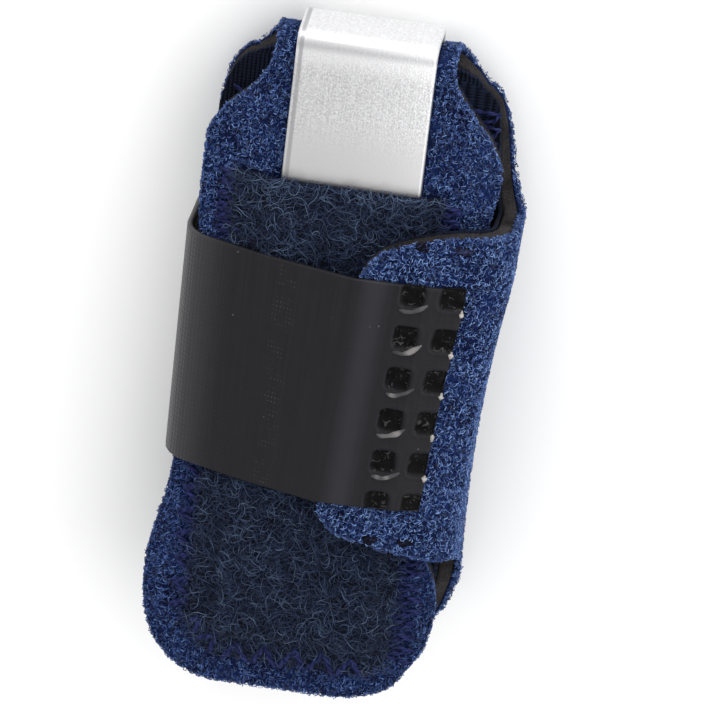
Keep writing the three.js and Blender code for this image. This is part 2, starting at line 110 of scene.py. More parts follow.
# Patches: distance along, reach to the left and the right, whether the strip lifts the patch
FRONT_PATCH = np.array([
    (-54.4, 8.6, 7.4, 0), (-53.6, 10.4, 8.9, 0), (-52.2, 11.6, 9.6, 0), (-50.4, 12.2, 9.8, 1),
    (-25.0, 12.2, 9.8, 1), (0.0, 12.3, 9.8, 1),
])
REAR_PATCH = np.array([
    (-46.0, 11.6, 11.6, 0), (-42.4, 12.3, 12.3, 0), (-40.4, 12.3, 12.3, 1), (-20.0, 12.3, 12.3, 1),
    (8.0, 12.3, 12.3, 1),
])
print("front panel", FRONT_CUT[-1, 0] - FRONT_CUT[0, 0], "mm long with its neck")

# %% Where the drawing sits in the frame
low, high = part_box("rear_pocket")
SHIFT = np.array([500 * (low[0] + high[0]), 1000 * high[1] - REAR_PATCH[-1, 0], 0.0])


def to_frame(points):
    """Millimetres of the drawing to metres of the frame."""
    return (np.asarray(points, float) + SHIFT) / 1000


print("drawing shifted by", SHIFT.round(3), "mm")

# %% [markdown]
# ## Walking a bent strip
# Every sheet here bends in one direction only, as a strip of card does. So each is drawn as a walk: a
# straight run, a bend, a straight run. A walk keeps the true length of the cloth, which a freehand curve
# would not.

# %% Walk helpers
WALK_STEP, BEND_STEP = 0.5, 4


def eased(share):
    """A share held between 0 and 1 that starts and ends gently."""
    share = np.clip(share, 0, 1)
    return share * share * (3 - 2 * share)


def smooth_table(table, column, at):
    """One column of a table at a key, smooth and with no overshoot between its rows."""
    keys, values = table[:, 0], table[:, column]
    slopes = np.diff(values) / np.diff(keys)
    before, after = slopes[:-1], slopes[1:]
    same = before * after > 0
    middle = np.where(same, 2 * before * after / np.where(same, before + after, 1), 0)
    tangents = np.concatenate([slopes[:1], middle, slopes[-1:]])
    at = np.clip(at, keys[0], keys[-1])
    i = np.clip(np.searchsorted(keys, at, side="right") - 1, 0, len(keys) - 2)
    width = keys[i + 1] - keys[i]
    s = (at - keys[i]) / width
    return (
        (2 * s**3 - 3 * s**2 + 1) * values[i]
        + (s**3 - 2 * s**2 + s) * width * tangents[i]
        + (3 * s**2 - 2 * s**3) * values[i + 1]
        + (s**3 - s**2) * width * tangents[i + 1]
    )


def walk(start, heading, rows):
    """Rows of (length, a, b, inward a, inward b, lift, lean, hollow), and where each named row ends."""
    a, b, *shares = start
    angle, along = math.radians(heading), 0.0
    out, ends = [], {}

    def put():
        out.append((along, a, b, -math.sin(angle), math.cos(angle), *shares))

    put()
    for row in rows:
        a0, b0, before = a, b, shares
        goals = [row.get(kind, was) for kind, was in zip(("lift", "lean", "hollow"), before)]
        run = row.get("run")
        if "to_a" in row:
            run = (row["to_a"] - a) / math.cos(angle)
        if "to_b" in row:
            run = (row["to_b"] - b) / math.sin(angle)
        steps = max(1, math.ceil(run / WALK_STEP))
        for i in range(1, steps + 1):
            part = i / steps
            a, b = a0 + math.cos(angle) * run * part, b0 + math.sin(angle) * run * part
            shares = [was + (goal - was) * part for was, goal in zip(before, goals)]
            along += run / steps
            put()
        turn, radius = row.get("turn", 0), row.get("radius", 0)
        if turn:
            centre_a, centre_b = a - math.sin(angle) * radius, b + math.cos(angle) * radius
            bends = math.ceil(turn / BEND_STEP)
            for i in range(bends):
                angle += math.radians(turn / bends)
                a, b = centre_a + math.sin(angle) * radius, centre_b - math.cos(angle) * radius
                along += radius * math.radians(turn) / bends
                put()
        ends[row["name"]] = out[-1]
    return np.array(out), ends


def at_length(path, along):
    """The walked values at each length, one array for each column."""
    return [np.interp(along, path[:, 0], path[:, k]) for k in range(1, 8)]


def front_face(y):
    """Height of the front panel's face at y."""
    top = REAR_FACE + FOLD_RADIUS + FOLD_RADIUS * math.cos(SLOPE)
    return top + (FOLD_Y + FOLD_RADIUS * math.sin(SLOPE) - y) * RISE_PER_Y


def droop(x, along):
    """How far the front panel droops beside its flat middle."""
    past = np.maximum(0, np.abs(x) - CROWN_FLAT) / CROWN_REACH
    return CROWN_DROP * past**2 * (1 - eased((along - CROWN_FULL_Y) / (CROWN_GONE_Y - CROWN_FULL_Y)))


print("front panel's face at the pocket's mouth", round(front_face(0), 2), "mm up")

# %% Walk the rear panel with its wing, the front panel with its neck, and the strap
roof = math.radians(ROOF_TURN)
roof_start_x = SIDE_X - HIGH_BEND_RADIUS * (1 - math.sin(roof))
roof_rise = (roof_start_x - ROOF_END_X) * math.tan(roof) + ROOF_RADIUS * (1 - math.cos(roof))
patch_face = front_face(MID_Y) + POCKET_RISE + WRAP_GAP
wing_face = patch_face + WALL
wrap_path, wrap_ends = walk((REAR_LEFT_X, REAR_FACE, 0, 0, 0), 0, [
    {"name": "rear_left", "to_a": -NECK_LIMIT_X},
    {"name": "rear", "to_a": NECK_LIMIT_X},
    {"name": "rear_right", "to_a": SIDE_X - LOW_BEND_RADIUS, "turn": 90, "radius": LOW_BEND_RADIUS,
     "lean": 1, "hollow": 1},
    {"name": "side", "to_b": wing_face - roof_rise - HIGH_BEND_RADIUS * math.cos(roof),
     "turn": 90 - ROOF_TURN, "radius": HIGH_BEND_RADIUS, "lift": 1},
    {"name": "roof", "to_a": ROOF_END_X, "turn": ROOF_TURN, "radius": ROOF_RADIUS, "hollow": 0},
    {"name": "wing", "to_a": WING_END_X},
])
front_length = -FRONT_END + (FOLD_Y + FOLD_RADIUS * math.sin(SLOPE)) / math.cos(SLOPE)
front_path, front_ends = walk((FOLD_Y - NECK_OVERLAP, REAR_FACE, 0, 0, 0), 0, [
    {"name": "under", "run": NECK_OVERLAP, "turn": FOLD_TURN, "radius": FOLD_RADIUS},
    {"name": "front", "run": front_length},
])
roof_heading = 180 - ROOF_TURN
foot = wrap_ends["side"]
inset_a = STRAP_INSET * math.cos(math.radians(roof_heading))
inset_b = STRAP_INSET * math.sin(math.radians(roof_heading))
strap_start = (
    foot[1] - foot[3] * SEAT_GAP + inset_a,
    foot[2] - foot[4] * SEAT_GAP + inset_b,
    1.0,
    1.0,
    1 - inset_a / (ROOF_END_X - foot[1]),
)
ridge_turn = math.degrees(math.atan2(WALL + SEAT_GAP, RIDGE_X - SHOULDER_X))
left_turn = 90 - ridge_turn - SHOULDER_TURN
strap_path, strap_ends = walk(strap_start, roof_heading, [
    {"name": "weld", "to_a": ROOF_END_X - foot[3] * SEAT_GAP, "turn": ROOF_TURN,
     "radius": ROOF_RADIUS + SEAT_GAP, "hollow": 0},
    {"name": "over_wing", "to_a": RIDGE_X, "turn": ridge_turn, "radius": RIDGE_RADIUS},
    {"name": "front", "to_b": patch_face, "turn": SHOULDER_TURN, "radius": SHOULDER_RADIUS, "lean": 0},
    {"name": "shoulder", "to_a": LEFT_X + LEFT_RADIUS * (1 - math.cos(math.radians(left_turn))),
     "turn": left_turn, "radius": LEFT_RADIUS, "lean": LEFT_LEAN},
    {"name": "left", "to_b": STRAP_THICK + LEFT_RADIUS, "turn": 90, "radius": LEFT_RADIUS,
     "lift": 0, "lean": 0},
    {"name": "back", "to_a": STRAP_END_X},
])
WRAP_LENGTH, FRONT_LENGTH, STRAP_LENGTH = wrap_path[-1, 0], front_path[-1, 0], strap_path[-1, 0]
print("wrap", WRAP_LENGTH.round(1), "front", FRONT_LENGTH.round(1), "strap", STRAP_LENGTH.round(1))

# %% Places on the walked sheets
def on_section(path, along, y, depth):
    """A place on a walk round the toe, carried along the toe to y."""
    a, b, in_a, in_b, lift, lean, hollow = at_length(path, along)
    off = y - MID_Y
    reach = np.minimum(np.abs(y - SIDE_HOLLOW_Y), SIDE_HOLLOW_REACH)
    x = a + in_a * depth + lean * SIDE_LEAN * off + hollow * SIDE_HOLLOW * reach**2
    return np.stack(np.broadcast_arrays(x, y, b + in_b * depth - lift * RISE_PER_Y * off), -1)


def on_wrap(along, y, depth):
    return on_section(wrap_path, along, y, depth)


def on_strap(along, y, depth):
    return on_section(strap_path, along, y, depth)


def on_front(along, x, depth):
    """A place on the neck or the front panel. The length runs from under the tip to the lower end."""
    a, b, in_a, in_b, _, _, _ = at_length(front_path, along)
    sag = droop(x, FRONT_END + FRONT_LENGTH - along)
    return np.stack(np.broadcast_arrays(x, a + in_a * depth, b + in_b * depth - sag), -1)


def wrap_edges(along):
    """Lower and upper edge of the rear panel and wing."""
    end = REAR_CUT[-1, 0] - REAR_LEFT_X
    start = WRAP_LENGTH - WING_CUT[-1, 0]
    share = np.clip((along - end) / (start - end), 0, 1)
    out = []
    for column in (1, 2):
        rear = smooth_table(REAR_CUT, column, along + REAR_LEFT_X)
        wing = smooth_table(WING_CUT, column, WRAP_LENGTH - along)
        between = rear + (WING_CUT[-1, column] - rear) * share
        out.append(np.where(along >= start, wing, between))
    return out


def front_edges(along):
    """Left and right edge of the neck and front panel."""
    place = FRONT_END + FRONT_LENGTH - along
    return smooth_table(FRONT_CUT, 1, place), smooth_table(FRONT_CUT, 2, place)


def strap_edges(along):
    """Lower and upper edge of the strap."""
    middle = STRAP_MID_Y + STRAP_SKEW * along
    return middle - STRAP_WIDTH / 2, middle + STRAP_WIDTH / 2


print("strap starts at", on_strap(0.0, MID_Y, 0.0).round(2))

# %% [markdown]
# ## From grids to meshes
# A sheet with thickness is two grids of points, one for each face, closed by a wall round the edge. Writing
# whole arrays into the mesh is far quicker than adding vertices one by one, and the same helper later makes
# thousands of fibres as one joined piece.

# %% Add a piece from arrays
def add_piece(name, points, faces, material, replaces=(), slot=None, values=None, uv=None):
    """A piece from points in drawing millimetres and equal-sided faces, riding on the part."""
    points = to_frame(points)
    faces = np.asarray(faces, np.int32)
    first, second, third = (points[faces[:, k]] for k in range(3))
    volume = (first * np.cross(second, third)).sum()
    if faces.shape[1] == 4:
        volume += (first * np.cross(third, points[faces[:, 3]])).sum()
    if volume < 0:
        faces = faces[:, ::-1]
    mesh = bpy.data.meshes.new(name)
    mesh.vertices.add(len(points))
    mesh.vertices.foreach_set("co", points.ravel())
    mesh.loops.add(faces.size)
    mesh.loops.foreach_set("vertex_index", np.ascontiguousarray(faces).ravel())
    mesh.polygons.add(len(faces))
    mesh.polygons.foreach_set("loop_start", np.arange(0, faces.size, faces.shape[1], dtype=np.int32))
    mesh.polygons.foreach_set("use_smooth", np.ones(len(faces), bool))
    mesh.update(calc_edges=True)
    for label, column in (values or {}).items():
        layer = mesh.attributes.new(label, "FLOAT", "POINT")
        layer.data.foreach_set("value", np.asarray(column, np.float32).ravel())
    if uv is not None:
        layer = mesh.uv_layers.new(name="cloth")
        layer.data.foreach_set("uv", np.asarray(uv, np.float32)[faces.ravel()].ravel())
    mesh.materials.append(material)
    piece = bpy.data.objects.new(name, mesh)
    bpy.context.scene.collection.objects.link(piece)
    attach(piece, "root")
    if replaces:
        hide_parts(*replaces)
    print(name, len(points), "points,", len(faces) * (faces.shape[1] - 2), "triangles")
    return piece


# %% [markdown]
# ## Finishes
# A finish is a colour that varies, a roughness that varies and a fine relief. The variation comes from two
# shared node groups: one gives each fibre its own shade, from a number that is stored on the fibre, and the
# other gives a cloth or foam its mottled grain. The groups give out only colours and values, and each
# material keeps its own shader.

# %% Groups, nodes and materials
def new_group(name, inputs, outputs):
    """A node group with named sockets, its input node and its output node."""
    group = bpy.data.node_groups.new(name, "ShaderNodeTree")
    for label, kind, value in inputs:
        socket = group.interface.new_socket(label, in_out="INPUT", socket_type=kind)
        socket.default_value = value
    for label, kind in outputs:
        group.interface.new_socket(label, in_out="OUTPUT", socket_type=kind)
    return group, group.nodes.new("NodeGroupInput"), group.nodes.new("NodeGroupOutput")


def node(tree, kind, inputs=None, **settings):
    """A node with its settings and its inputs, each of them a value or another node's output."""
    made = tree.nodes.new(kind)
    for label, value in settings.items():
        setattr(made, label, value)
    for label, value in (inputs or {}).items():
        if isinstance(value, bpy.types.NodeSocket):
            tree.links.new(value, made.inputs[label])
        else:
            made.inputs[label].default_value = value
    return made


def feed(tree, shader, **sources):
    """Links a shader's inputs, named with underscores for spaces, to their sources."""
    for label, source in sources.items():
        tree.links.new(source, shader.inputs[label.replace("_", " ")])


def rgb(red, green, blue):
    """A colour as seen on a screen, from 0 to 255, in the renderer's linear values."""
    parts = [v / 255 for v in (red, green, blue)]
    return tuple(v / 12.92 if v < 0.04045 else ((v + 0.055) / 1.055) ** 2.4 for v in parts) + (1.0,)


def new_finish(name, **constants):
    """A material with its shader, and the tree to add nodes to."""
    material = bpy.data.materials.new(name)
    material.use_nodes = True
    tree = material.node_tree
    shader = tree.nodes["Principled BSDF"]
    for label, value in constants.items():
        shader.inputs[label.replace("_", " ")].default_value = value
    return material, tree, shader


print("mid grey is", round(rgb(128, 128, 128)[0], 3), "in linear values")

# %% Steps between nodes
def ranged(tree, value, low, high, start=0.0, end=1.0, smooth=False):
    """A value carried from the range low to high into the range start to end, and held at both ends."""
    inputs = {"Value": value, "From Min": low, "From Max": high, "To Min": start, "To Max": end}
    kind = "SMOOTHSTEP" if smooth else "LINEAR"
    return node(tree, "ShaderNodeMapRange", inputs, interpolation_type=kind).outputs[0]


def mixed(tree, share, one, two):
    """A colour between two colours."""
    return node(tree, "ShaderNodeMix", {0: share, 6: one, 7: two}, data_type="RGBA").outputs[2]


def worked(tree, operation, *terms):
    """One step of arithmetic."""
    return node(tree, "ShaderNodeMath", dict(enumerate(terms)), operation=operation).outputs[0]


def away_from(tree, value, place):
    """How far a value is from a place, on either side."""
    return worked(tree, "ABSOLUTE", worked(tree, "SUBTRACT", value, place))


def noise(tree, vector, **inputs):
    """A cloudy value."""
    return node(tree, "ShaderNodeTexNoise", {"Vector": vector, **inputs}).outputs[0]


def bands(tree, vector, direction, scale, wander):
    """A value that rises and falls across parallel bands."""
    return node(tree, "ShaderNodeTexWave", {"Vector": vector, "Scale": scale, "Distortion": wander},
                wave_type="BANDS", bands_direction=direction).outputs[1]


def bumped(tree, height, strength, distance):
    """A direction tilted by a fine relief."""
    inputs = {"Height": height, "Strength": strength, "Distance": distance}
    return node(tree, "ShaderNodeBump", inputs).outputs[0]


# %% Shared groups
COLOUR, NUMBER = "NodeSocketColor", "NodeSocketFloat"
BLACK, GREY, WHITE = (0, 0, 0, 1), (0.5, 0.5, 0.5, 1), (1, 1, 1, 1)
shade_group, given, result = new_group(
    "Fibre shade",
    [("Shade", NUMBER, 0.5), ("Deep", COLOUR, BLACK), ("Middle", COLOUR, GREY), ("Bright", COLOUR, WHITE)],
    [("Color", COLOUR), ("Roughness", NUMBER)],
)
shade, deep, middle, bright = (given.outputs[k] for k in range(4))
darker = mixed(shade_group, ranged(shade_group, shade, 0.0, 0.5), deep, middle)
lighter = mixed(shade_group, ranged(shade_group, shade, 0.5, 1.0), darker, bright)
feed(shade_group, result, Color=lighter, Roughness=ranged(shade_group, shade, 0.0, 1.0, 0.95, 0.7))

grain_group, given, result = new_group(
    "Cloth grain",
    [("Vector", "NodeSocketVector", (0, 0, 0)), ("Scale", NUMBER, 2000.0),
     ("Deep", COLOUR, BLACK), ("Bright", COLOUR, WHITE)],
    [("Color", COLOUR), ("Height", NUMBER), ("Roughness", NUMBER)],
)
vector, scale, deep, bright = (given.outputs[k] for k in range(4))
fine = noise(grain_group, vector, Scale=scale, Detail=4.0, Roughness=0.65)
coarse = noise(grain_group, vector, Scale=260.0, Detail=2.0)
mottle = ranged(grain_group, worked(grain_group, "MULTIPLY", fine, coarse), 0.12, 0.42)
feed(grain_group, result, Color=mixed(grain_group, mottle, deep, bright), Height=fine,
     Roughness=ranged(grain_group, fine, 0.0, 1.0, 0.75, 1.0))
print("groups", [group.name for group in bpy.data.node_groups])

# %% Finishes from the groups
def fibre_finish(name, deep, middle, bright, **constants):
    """A finish for fibres and thread, shaded by the number stored on each."""
    material, tree, shader = new_finish(name, **constants)
    stored = node(tree, "ShaderNodeAttribute", attribute_name="shade").outputs["Fac"]
    colours = {"Deep": rgb(*deep), "Middle": rgb(*middle), "Bright": rgb(*bright)}
    group = node(tree, "ShaderNodeGroup", {"Shade": stored, **colours}, node_tree=shade_group)
    feed(tree, shader, Base_Color=group.outputs["Color"], Roughness=group.outputs["Roughness"])
    return material


def grain_finish(name, scale, deep, bright, relief, **constants):
    """A finish for a matt cloth or foam with a mottled grain and a fine relief."""
    material, tree, shader = new_finish(name, **constants)
    place = node(tree, "ShaderNodeTexCoord").outputs["Object"]
    inputs = {"Vector": place, "Scale": scale, "Deep": rgb(*deep), "Bright": rgb(*bright)}
    group = node(tree, "ShaderNodeGroup", inputs, node_tree=grain_group)
    feed(tree, shader, Base_Color=group.outputs["Color"], Roughness=group.outputs["Roughness"],
         Normal=bumped(tree, group.outputs["Height"], 0.9, relief))
    return material


# %% Cloth, foam, fibre and thread finishes
pile_base = grain_finish("Loop cloth ground", 2600.0, (9, 14, 40), (30, 48, 98), 0.0004,
                         Specular_IOR_Level=0.06)
pile_fibre = fibre_finish("Blue loop fibre", (14, 21, 54), (58, 87, 150), (128, 160, 214),
                          Specular_IOR_Level=0.12, Sheen_Weight=0.1)
patch_base = grain_finish("Brushed patch ground", 2200.0, (9, 12, 24), (27, 34, 52), 0.0004,
                          Specular_IOR_Level=0.08)
patch_fibre = fibre_finish("Brushed patch fibre", (14, 19, 38), (44, 58, 88), (102, 124, 154),
                           Specular_IOR_Level=0.15, Sheen_Weight=0.05)
thread_finish = fibre_finish("Indigo thread", (9, 12, 34), (27, 33, 74), (58, 66, 122),
                             Specular_IOR_Level=0.15)
foam_finish = grain_finish("Bare foam", 5200.0, (19, 18, 19), (70, 67, 67), 0.0004, Specular_IOR_Level=0.06)
print("soft finishes ready")

# %% [markdown]
# ## Ribbed lining finish
# The inside of the wrap is a fine ribbed knit, almost black navy. Its ribs are under half a millimetre apart,
# too fine to model, so two crossed waves on the cloth's own map give columns of small stitches.

# %% Ribbed lining
RIB_SCALE = 70.0
knit_finish = grain_finish("Ribbed navy knit", 3000.0, (7, 11, 24), (24, 35, 60), 0.0002,
                           Specular_IOR_Level=0.15)
tree = knit_finish.node_tree
cloth_map = node(tree, "ShaderNodeUVMap", uv_map="cloth").outputs[0]
ribs = bands(tree, cloth_map, "X", RIB_SCALE, 0.3)
knots = bands(tree, cloth_map, "Y", 90.0, 0.4)
lattice = worked(tree, "MULTIPLY_ADD", ribs, knots, ribs)
feed(tree, tree.nodes["Principled BSDF"], Normal=bumped(tree, lattice, 1.0, 0.0002))
print("ribs", round(100 * 2 * math.pi / (20 * RIB_SCALE), 2), "mm apart")

# %% [markdown]
# ## The wrap's three plies
# Loop cloth, foam and knit are glued in one sheet and then die-cut, so the three plies share one outline and
# the foam shows as a dark line at every cut edge. Each ply is two grids with a rounded rim. The rear panel
# with its wing is one sheet, and the neck with the front panel is the other.

# %% Grids with a rounded rim
def closed_faces(rows, columns):
    """Quads of two grids, one after the other, with the wall round their edge."""
    top = np.arange(rows * columns).reshape(rows, columns)
    under = top + rows * columns

    def quads(p, q, r, s):
        return np.stack([p, q, r, s], -1).reshape(-1, 4)

    return np.concatenate([
        quads(top[:-1, :-1], top[1:, :-1], top[1:, 1:], top[:-1, 1:]),
        quads(under[:-1, :-1], under[:-1, 1:], under[1:, 1:], under[1:, :-1]),
        quads(top[:-1, 0], under[:-1, 0], under[1:, 0], top[1:, 0]),
        quads(top[:-1, -1], top[1:, -1], under[1:, -1], under[:-1, -1]),
        quads(top[0, :-1], top[0, 1:], under[0, 1:], under[0, :-1]),
        quads(top[-1, :-1], under[-1, :-1], under[-1, 1:], top[-1, 1:]),
    ])


ROUND_SHARE, ROUND_LIMIT = 0.42, 0.8
END_STEPS = np.array([0.0, 0.06, 0.16, 0.32])
RIM_STEPS = np.array([0.0, 0.06, 0.16, 0.34])
INSET = 0.6


def spaced(start, end, step):
    """Stations from start to end, close together near both ends so that a cut edge can be rounded."""
    inner = np.linspace(start + INSET, end - INSET, max(2, int(round((end - start - 2 * INSET) / step))))
    return np.concatenate([start + END_STEPS, inner, end - END_STEPS[::-1]])


def sheet_grid(rows, start, end, shares, rim=RIM_STEPS, inset=INSET):
    """A grid between two edges: lengths, places across, and distances to the cut edge."""
    start, end = start[:, None], end[:, None]
    inner = start + inset + shares * (end - start - 2 * inset)
    across = np.concatenate([start + rim, inner, end - rim[::-1]], axis=1)
    along = np.broadcast_to(rows[:, None], across.shape)
    to_side = np.minimum(across - start, end - across)
    return along, across, np.minimum(to_side, np.minimum(along - rows[0], rows[-1] - along))


def both_faces(outer, inward):
    """The points of a sheet's two faces, one after the other."""
    return np.concatenate([outer.reshape(-1, 3), inward.reshape(-1, 3)])


def rounded(distance, thick):
    """How far a face of a sheet has come in at a distance from the cut edge."""
    radius = ROUND_SHARE * min(thick, ROUND_LIMIT)
    short = np.clip(radius - distance, 0, radius)
    return radius - np.sqrt(np.maximum(radius**2 - short**2, 0))


print("the foam's rim comes in", rounded(0.0, FOAM_THICK).round(2), "mm")

# %% Ply builder
def ply_sheet(place, rows, edges, depth, thick, sink=0.0, step=1.3):
    """Points, quads and map of one sheet of a ply between its two edges."""
    start, end = edges(rows)
    shares = np.linspace(0, 1, max(6, int((end - start).max() / step)))[1:-1]
    along, across, to_edge = sheet_grid(rows, start, end, shares)
    come_in = rounded(to_edge, thick)
    outer = place(along, across, depth + sink + come_in)
    inward = place(along, across, depth + sink + thick - come_in)
    uv = np.stack([across, along], -1).reshape(-1, 2) / 100
    return both_faces(outer, inward), closed_faces(*across.shape), np.concatenate([uv, uv])


def ply(depth, thick):
    """Both sheets of one ply as one mesh. The neck starts a hair under the rear panel that it grows from."""
    rear_points, rear_faces, rear_uv = ply_sheet(
        on_wrap, spaced(0, WRAP_LENGTH, 0.7), wrap_edges, depth, thick, step=2.2)
    neck_points, neck_faces, neck_uv = ply_sheet(
        on_front, spaced(0, FRONT_LENGTH, 0.8), front_edges, depth, thick, sink=-0.02)
    return (
        np.concatenate([rear_points, neck_points]),
        np.concatenate([rear_faces, neck_faces + len(rear_points)]),
        np.concatenate([rear_uv[:, ::-1], neck_uv]),
    )


# %% Make the plies
points, faces, uv = ply(GROUND_DEPTH, LOOP_THICK - GROUND_DEPTH)
loop_cloth = add_piece("loop_cloth", points, faces, pile_base, ["loop_face"], "loop_pile", uv=uv)
points, faces, uv = ply(FOAM_DEPTH, FOAM_THICK)
foam = add_piece("foam_layer", points, faces, foam_finish, ["foam_core"], "foam", uv=uv)
points, faces, uv = ply(KNIT_DEPTH, KNIT_THICK)
lining = add_piece("lining_knit", points, faces, knit_finish, ["knit_lining"], "knit", uv=uv)

# %% [markdown]
# ## The brushed patches
# A patch is sewn flat along its margin and stands up over the strip, so it is a low tunnel. It is lofted from
# the rows of its table, with a soft step beside the strip instead of the solid's crease.

# %% Patch sheets
def patch_reach(x, along, table):
    """How far a patch reaches on the side that x is on."""
    return np.where(x < 0, smooth_table(table, 1, along), smooth_table(table, 2, along))


def patch_lift(x, along, table):
    """How far the strip lifts a patch at a place."""
    reach = patch_reach(x, along, table)
    bulge = np.interp(along, table[:, 0], table[:, 3])
    crown = np.minimum(POCKET_CROWN_X, 0.9 * reach)
    return bulge * eased((crown + reach - 2 * np.abs(x)) / (reach - crown)) * (STAY_THICK + SEAT_GAP)


def on_front_patch(x, along, off):
    """A place above the front panel, off its face."""
    y = along * math.cos(SLOPE) + off * math.sin(SLOPE)
    z = front_face(0) - along * math.sin(SLOPE) + off * math.cos(SLOPE)
    return np.stack(np.broadcast_arrays(x, y, z - droop(x, along)), -1)


def on_rear_patch(x, along, off):
    """A place below the rear panel, off its face."""
    return np.stack(np.broadcast_arrays(x, along, REAR_FACE - off), -1)


def patch_sheet(place, table):
    """Points and quads of a patch, lifted by the strip under it."""
    rows = spaced(table[0, 0], table[-1, 0], 0.7)
    left, right = (smooth_table(table, column, rows) for column in (1, 2))
    along, x, to_edge = sheet_grid(rows, -left, right, np.linspace(0, 1, 48))
    come_in = rounded(to_edge, POCKET_THICK)
    lift = SEAT_GAP + patch_lift(x, along, table)
    outer = place(x, along, lift + POCKET_THICK - come_in)
    inward = place(x, along, lift + come_in)
    return both_faces(outer, inward), closed_faces(*x.shape)


front_patch = add_piece("front_patch", *patch_sheet(on_front_patch, FRONT_PATCH), patch_base,
                        ["front_pocket"], "brushed_patch")
rear_patch = add_piece("rear_patch", *patch_sheet(on_rear_patch, REAR_PATCH), patch_base,
                       ["rear_pocket"], "brushed_patch")

# %% [markdown]
# ## The aluminium strip
# The strip is bent by hand over the tip, in two soft bends behind and a sharper one in front. It is modelled
# the same way: a plane of the strip's width, whose end edge is extruded from bend to bend, then given its
# thickness and rolled edges.

# %% Bend the strip
turns = np.array([STAY_LOW_TURN, STAY_LOW_TURN, FOLD_TURN - 2 * STAY_LOW_TURN])
reaches = (FOLD_RADIUS + SEAT_GAP - STAY_BEND_RADIUS) * np.tan(np.radians(turns / 2))
stay_path, _ = walk((STAY_REAR_END, REAR_FACE - SEAT_GAP, 0, 0, 0), 0, [
    {"name": "rear_leg", "to_a": FOLD_Y + reaches[0], "turn": turns[0], "radius": STAY_BEND_RADIUS},
    {"name": "low_tip", "run": reaches[0] + reaches[1], "turn": turns[1], "radius": STAY_BEND_RADIUS},
    {"name": "high_tip", "run": reaches[1] + reaches[2], "turn": turns[2], "radius": STAY_BEND_RADIUS},
    {"name": "front_leg", "to_a": STAY_FRONT_END},
])
bends = np.flatnonzero(np.abs(np.diff(np.arctan2(stay_path[:, 4], stay_path[:, 3]))) > 1e-6)
stops = sorted(set(bends) | set(bends + 1) | {0, len(stay_path) - 1})
stay_line = [Vector(to_frame((0, stay_path[k, 1], stay_path[k, 2]))) for k in stops]

bpy.ops.object.select_all(action="DESELECT")
first_run = (stay_line[1] - stay_line[0]).length
middle = (stay_line[0] + stay_line[1]) / 2
bpy.ops.mesh.primitive_plane_add(size=1.0, location=middle)
stay = bpy.context.active_object
stay.name = "bent_strip"
stay.scale = (STAY_WIDTH / 1000, first_run, 1)
bpy.ops.object.transform_apply(location=True, rotation=True, scale=True)
bpy.ops.object.mode_set(mode="EDIT")
bpy.ops.mesh.select_mode(type="EDGE")
bpy.ops.mesh.select_all(action="DESELECT")
sketch = bmesh.from_edit_mesh(stay.data)
last_edge = max(sketch.edges, key=lambda edge: edge.verts[0].co.y + edge.verts[1].co.y)
last_edge.select_set(True)
bmesh.update_edit_mesh(stay.data)
for here, there in zip(stay_line[1:], stay_line[2:]):
    bpy.ops.mesh.extrude_region_move(TRANSFORM_OT_translate={"value": there - here})
bpy.ops.mesh.select_all(action="SELECT")
bpy.ops.mesh.normals_make_consistent(inside=False)
bpy.ops.object.mode_set(mode="OBJECT")
print("strip extruded through", len(stay_line), "stops")

# %% Thicken the strip and roll its edges
EDGE_ROLL = 0.34
solid = stay.modifiers.new("Thickness", "SOLIDIFY")
solid.thickness = STAY_THICK / 1000
solid.offset = -1 if stay.data.polygons[0].normal.z > 0 else 1
bpy.ops.object.modifier_apply(modifier=solid.name)
edge_roll = stay.modifiers.new("Rolled edges", "BEVEL")
edge_roll.width = EDGE_ROLL / 1000
edge_roll.segments = 3
edge_roll.limit_method = "ANGLE"
edge_roll.angle_limit = math.radians(50)
bpy.ops.object.modifier_apply(modifier=edge_roll.name)
bpy.ops.object.mode_set(mode="EDIT")
bpy.ops.mesh.select_all(action="SELECT")
bpy.ops.mesh.normals_make_consistent(inside=False)
bpy.ops.object.mode_set(mode="OBJECT")
bpy.ops.object.shade_smooth_by_angle(angle=math.radians(40))
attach(stay, "root")
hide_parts("aluminium_stay")
span = [[round(1000 * f(v.co[k] for v in stay.data.vertices), 2) for k in range(3)] for f in (min, max)]

# %% [markdown]
# ## Brushed aluminium
# The strip is soft bare metal, lightly brushed along its length and speckled by handling, less so by the
# pocket's mouth. Stretched noise gives the brush lines, and a fine noise gives the speckle. Both feed the
# colour, the roughness and a very low relief.

# %% Strip finish
metal, tree, shader = new_finish("Brushed aluminium", Metallic=1.0)
place = node(tree, "ShaderNodeTexCoord").outputs["Object"]
across_strip, along_strip, _ = node(tree, "ShaderNodeSeparateXYZ", {"Vector": place}).outputs
stretch = node(tree, "ShaderNodeMapping", {"Vector": place, "Scale": (7000.0, 260.0, 260.0)}).outputs[0]
brush = noise(tree, stretch, Scale=1.0, Detail=3.0, Roughness=0.6)
speck = noise(tree, place, Scale=4800.0, Detail=2.0, Roughness=0.7)
lined = worked(tree, "MULTIPLY_ADD", brush, 0.35, speck)
mouth_y = to_frame((0, 0, 0))[1]
handled = ranged(tree, along_strip, mouth_y + 0.002, mouth_y + 0.008, 0.3, 1.0, smooth=True)
marks = worked(tree, "MULTIPLY", worked(tree, "SUBTRACT", lined, 0.675), handled)
silver = mixed(tree, ranged(tree, marks, -0.24, 0.2), (0.43, 0.43, 0.435, 1), (0.79, 0.79, 0.8, 1))
feed(tree, shader, Roughness=ranged(tree, marks, -0.2, 0.2, 0.46, 0.32),
     Normal=bumped(tree, marks, 0.5, 0.00006))
stay.data.materials.append(metal)
print("strip finish", metal.name)

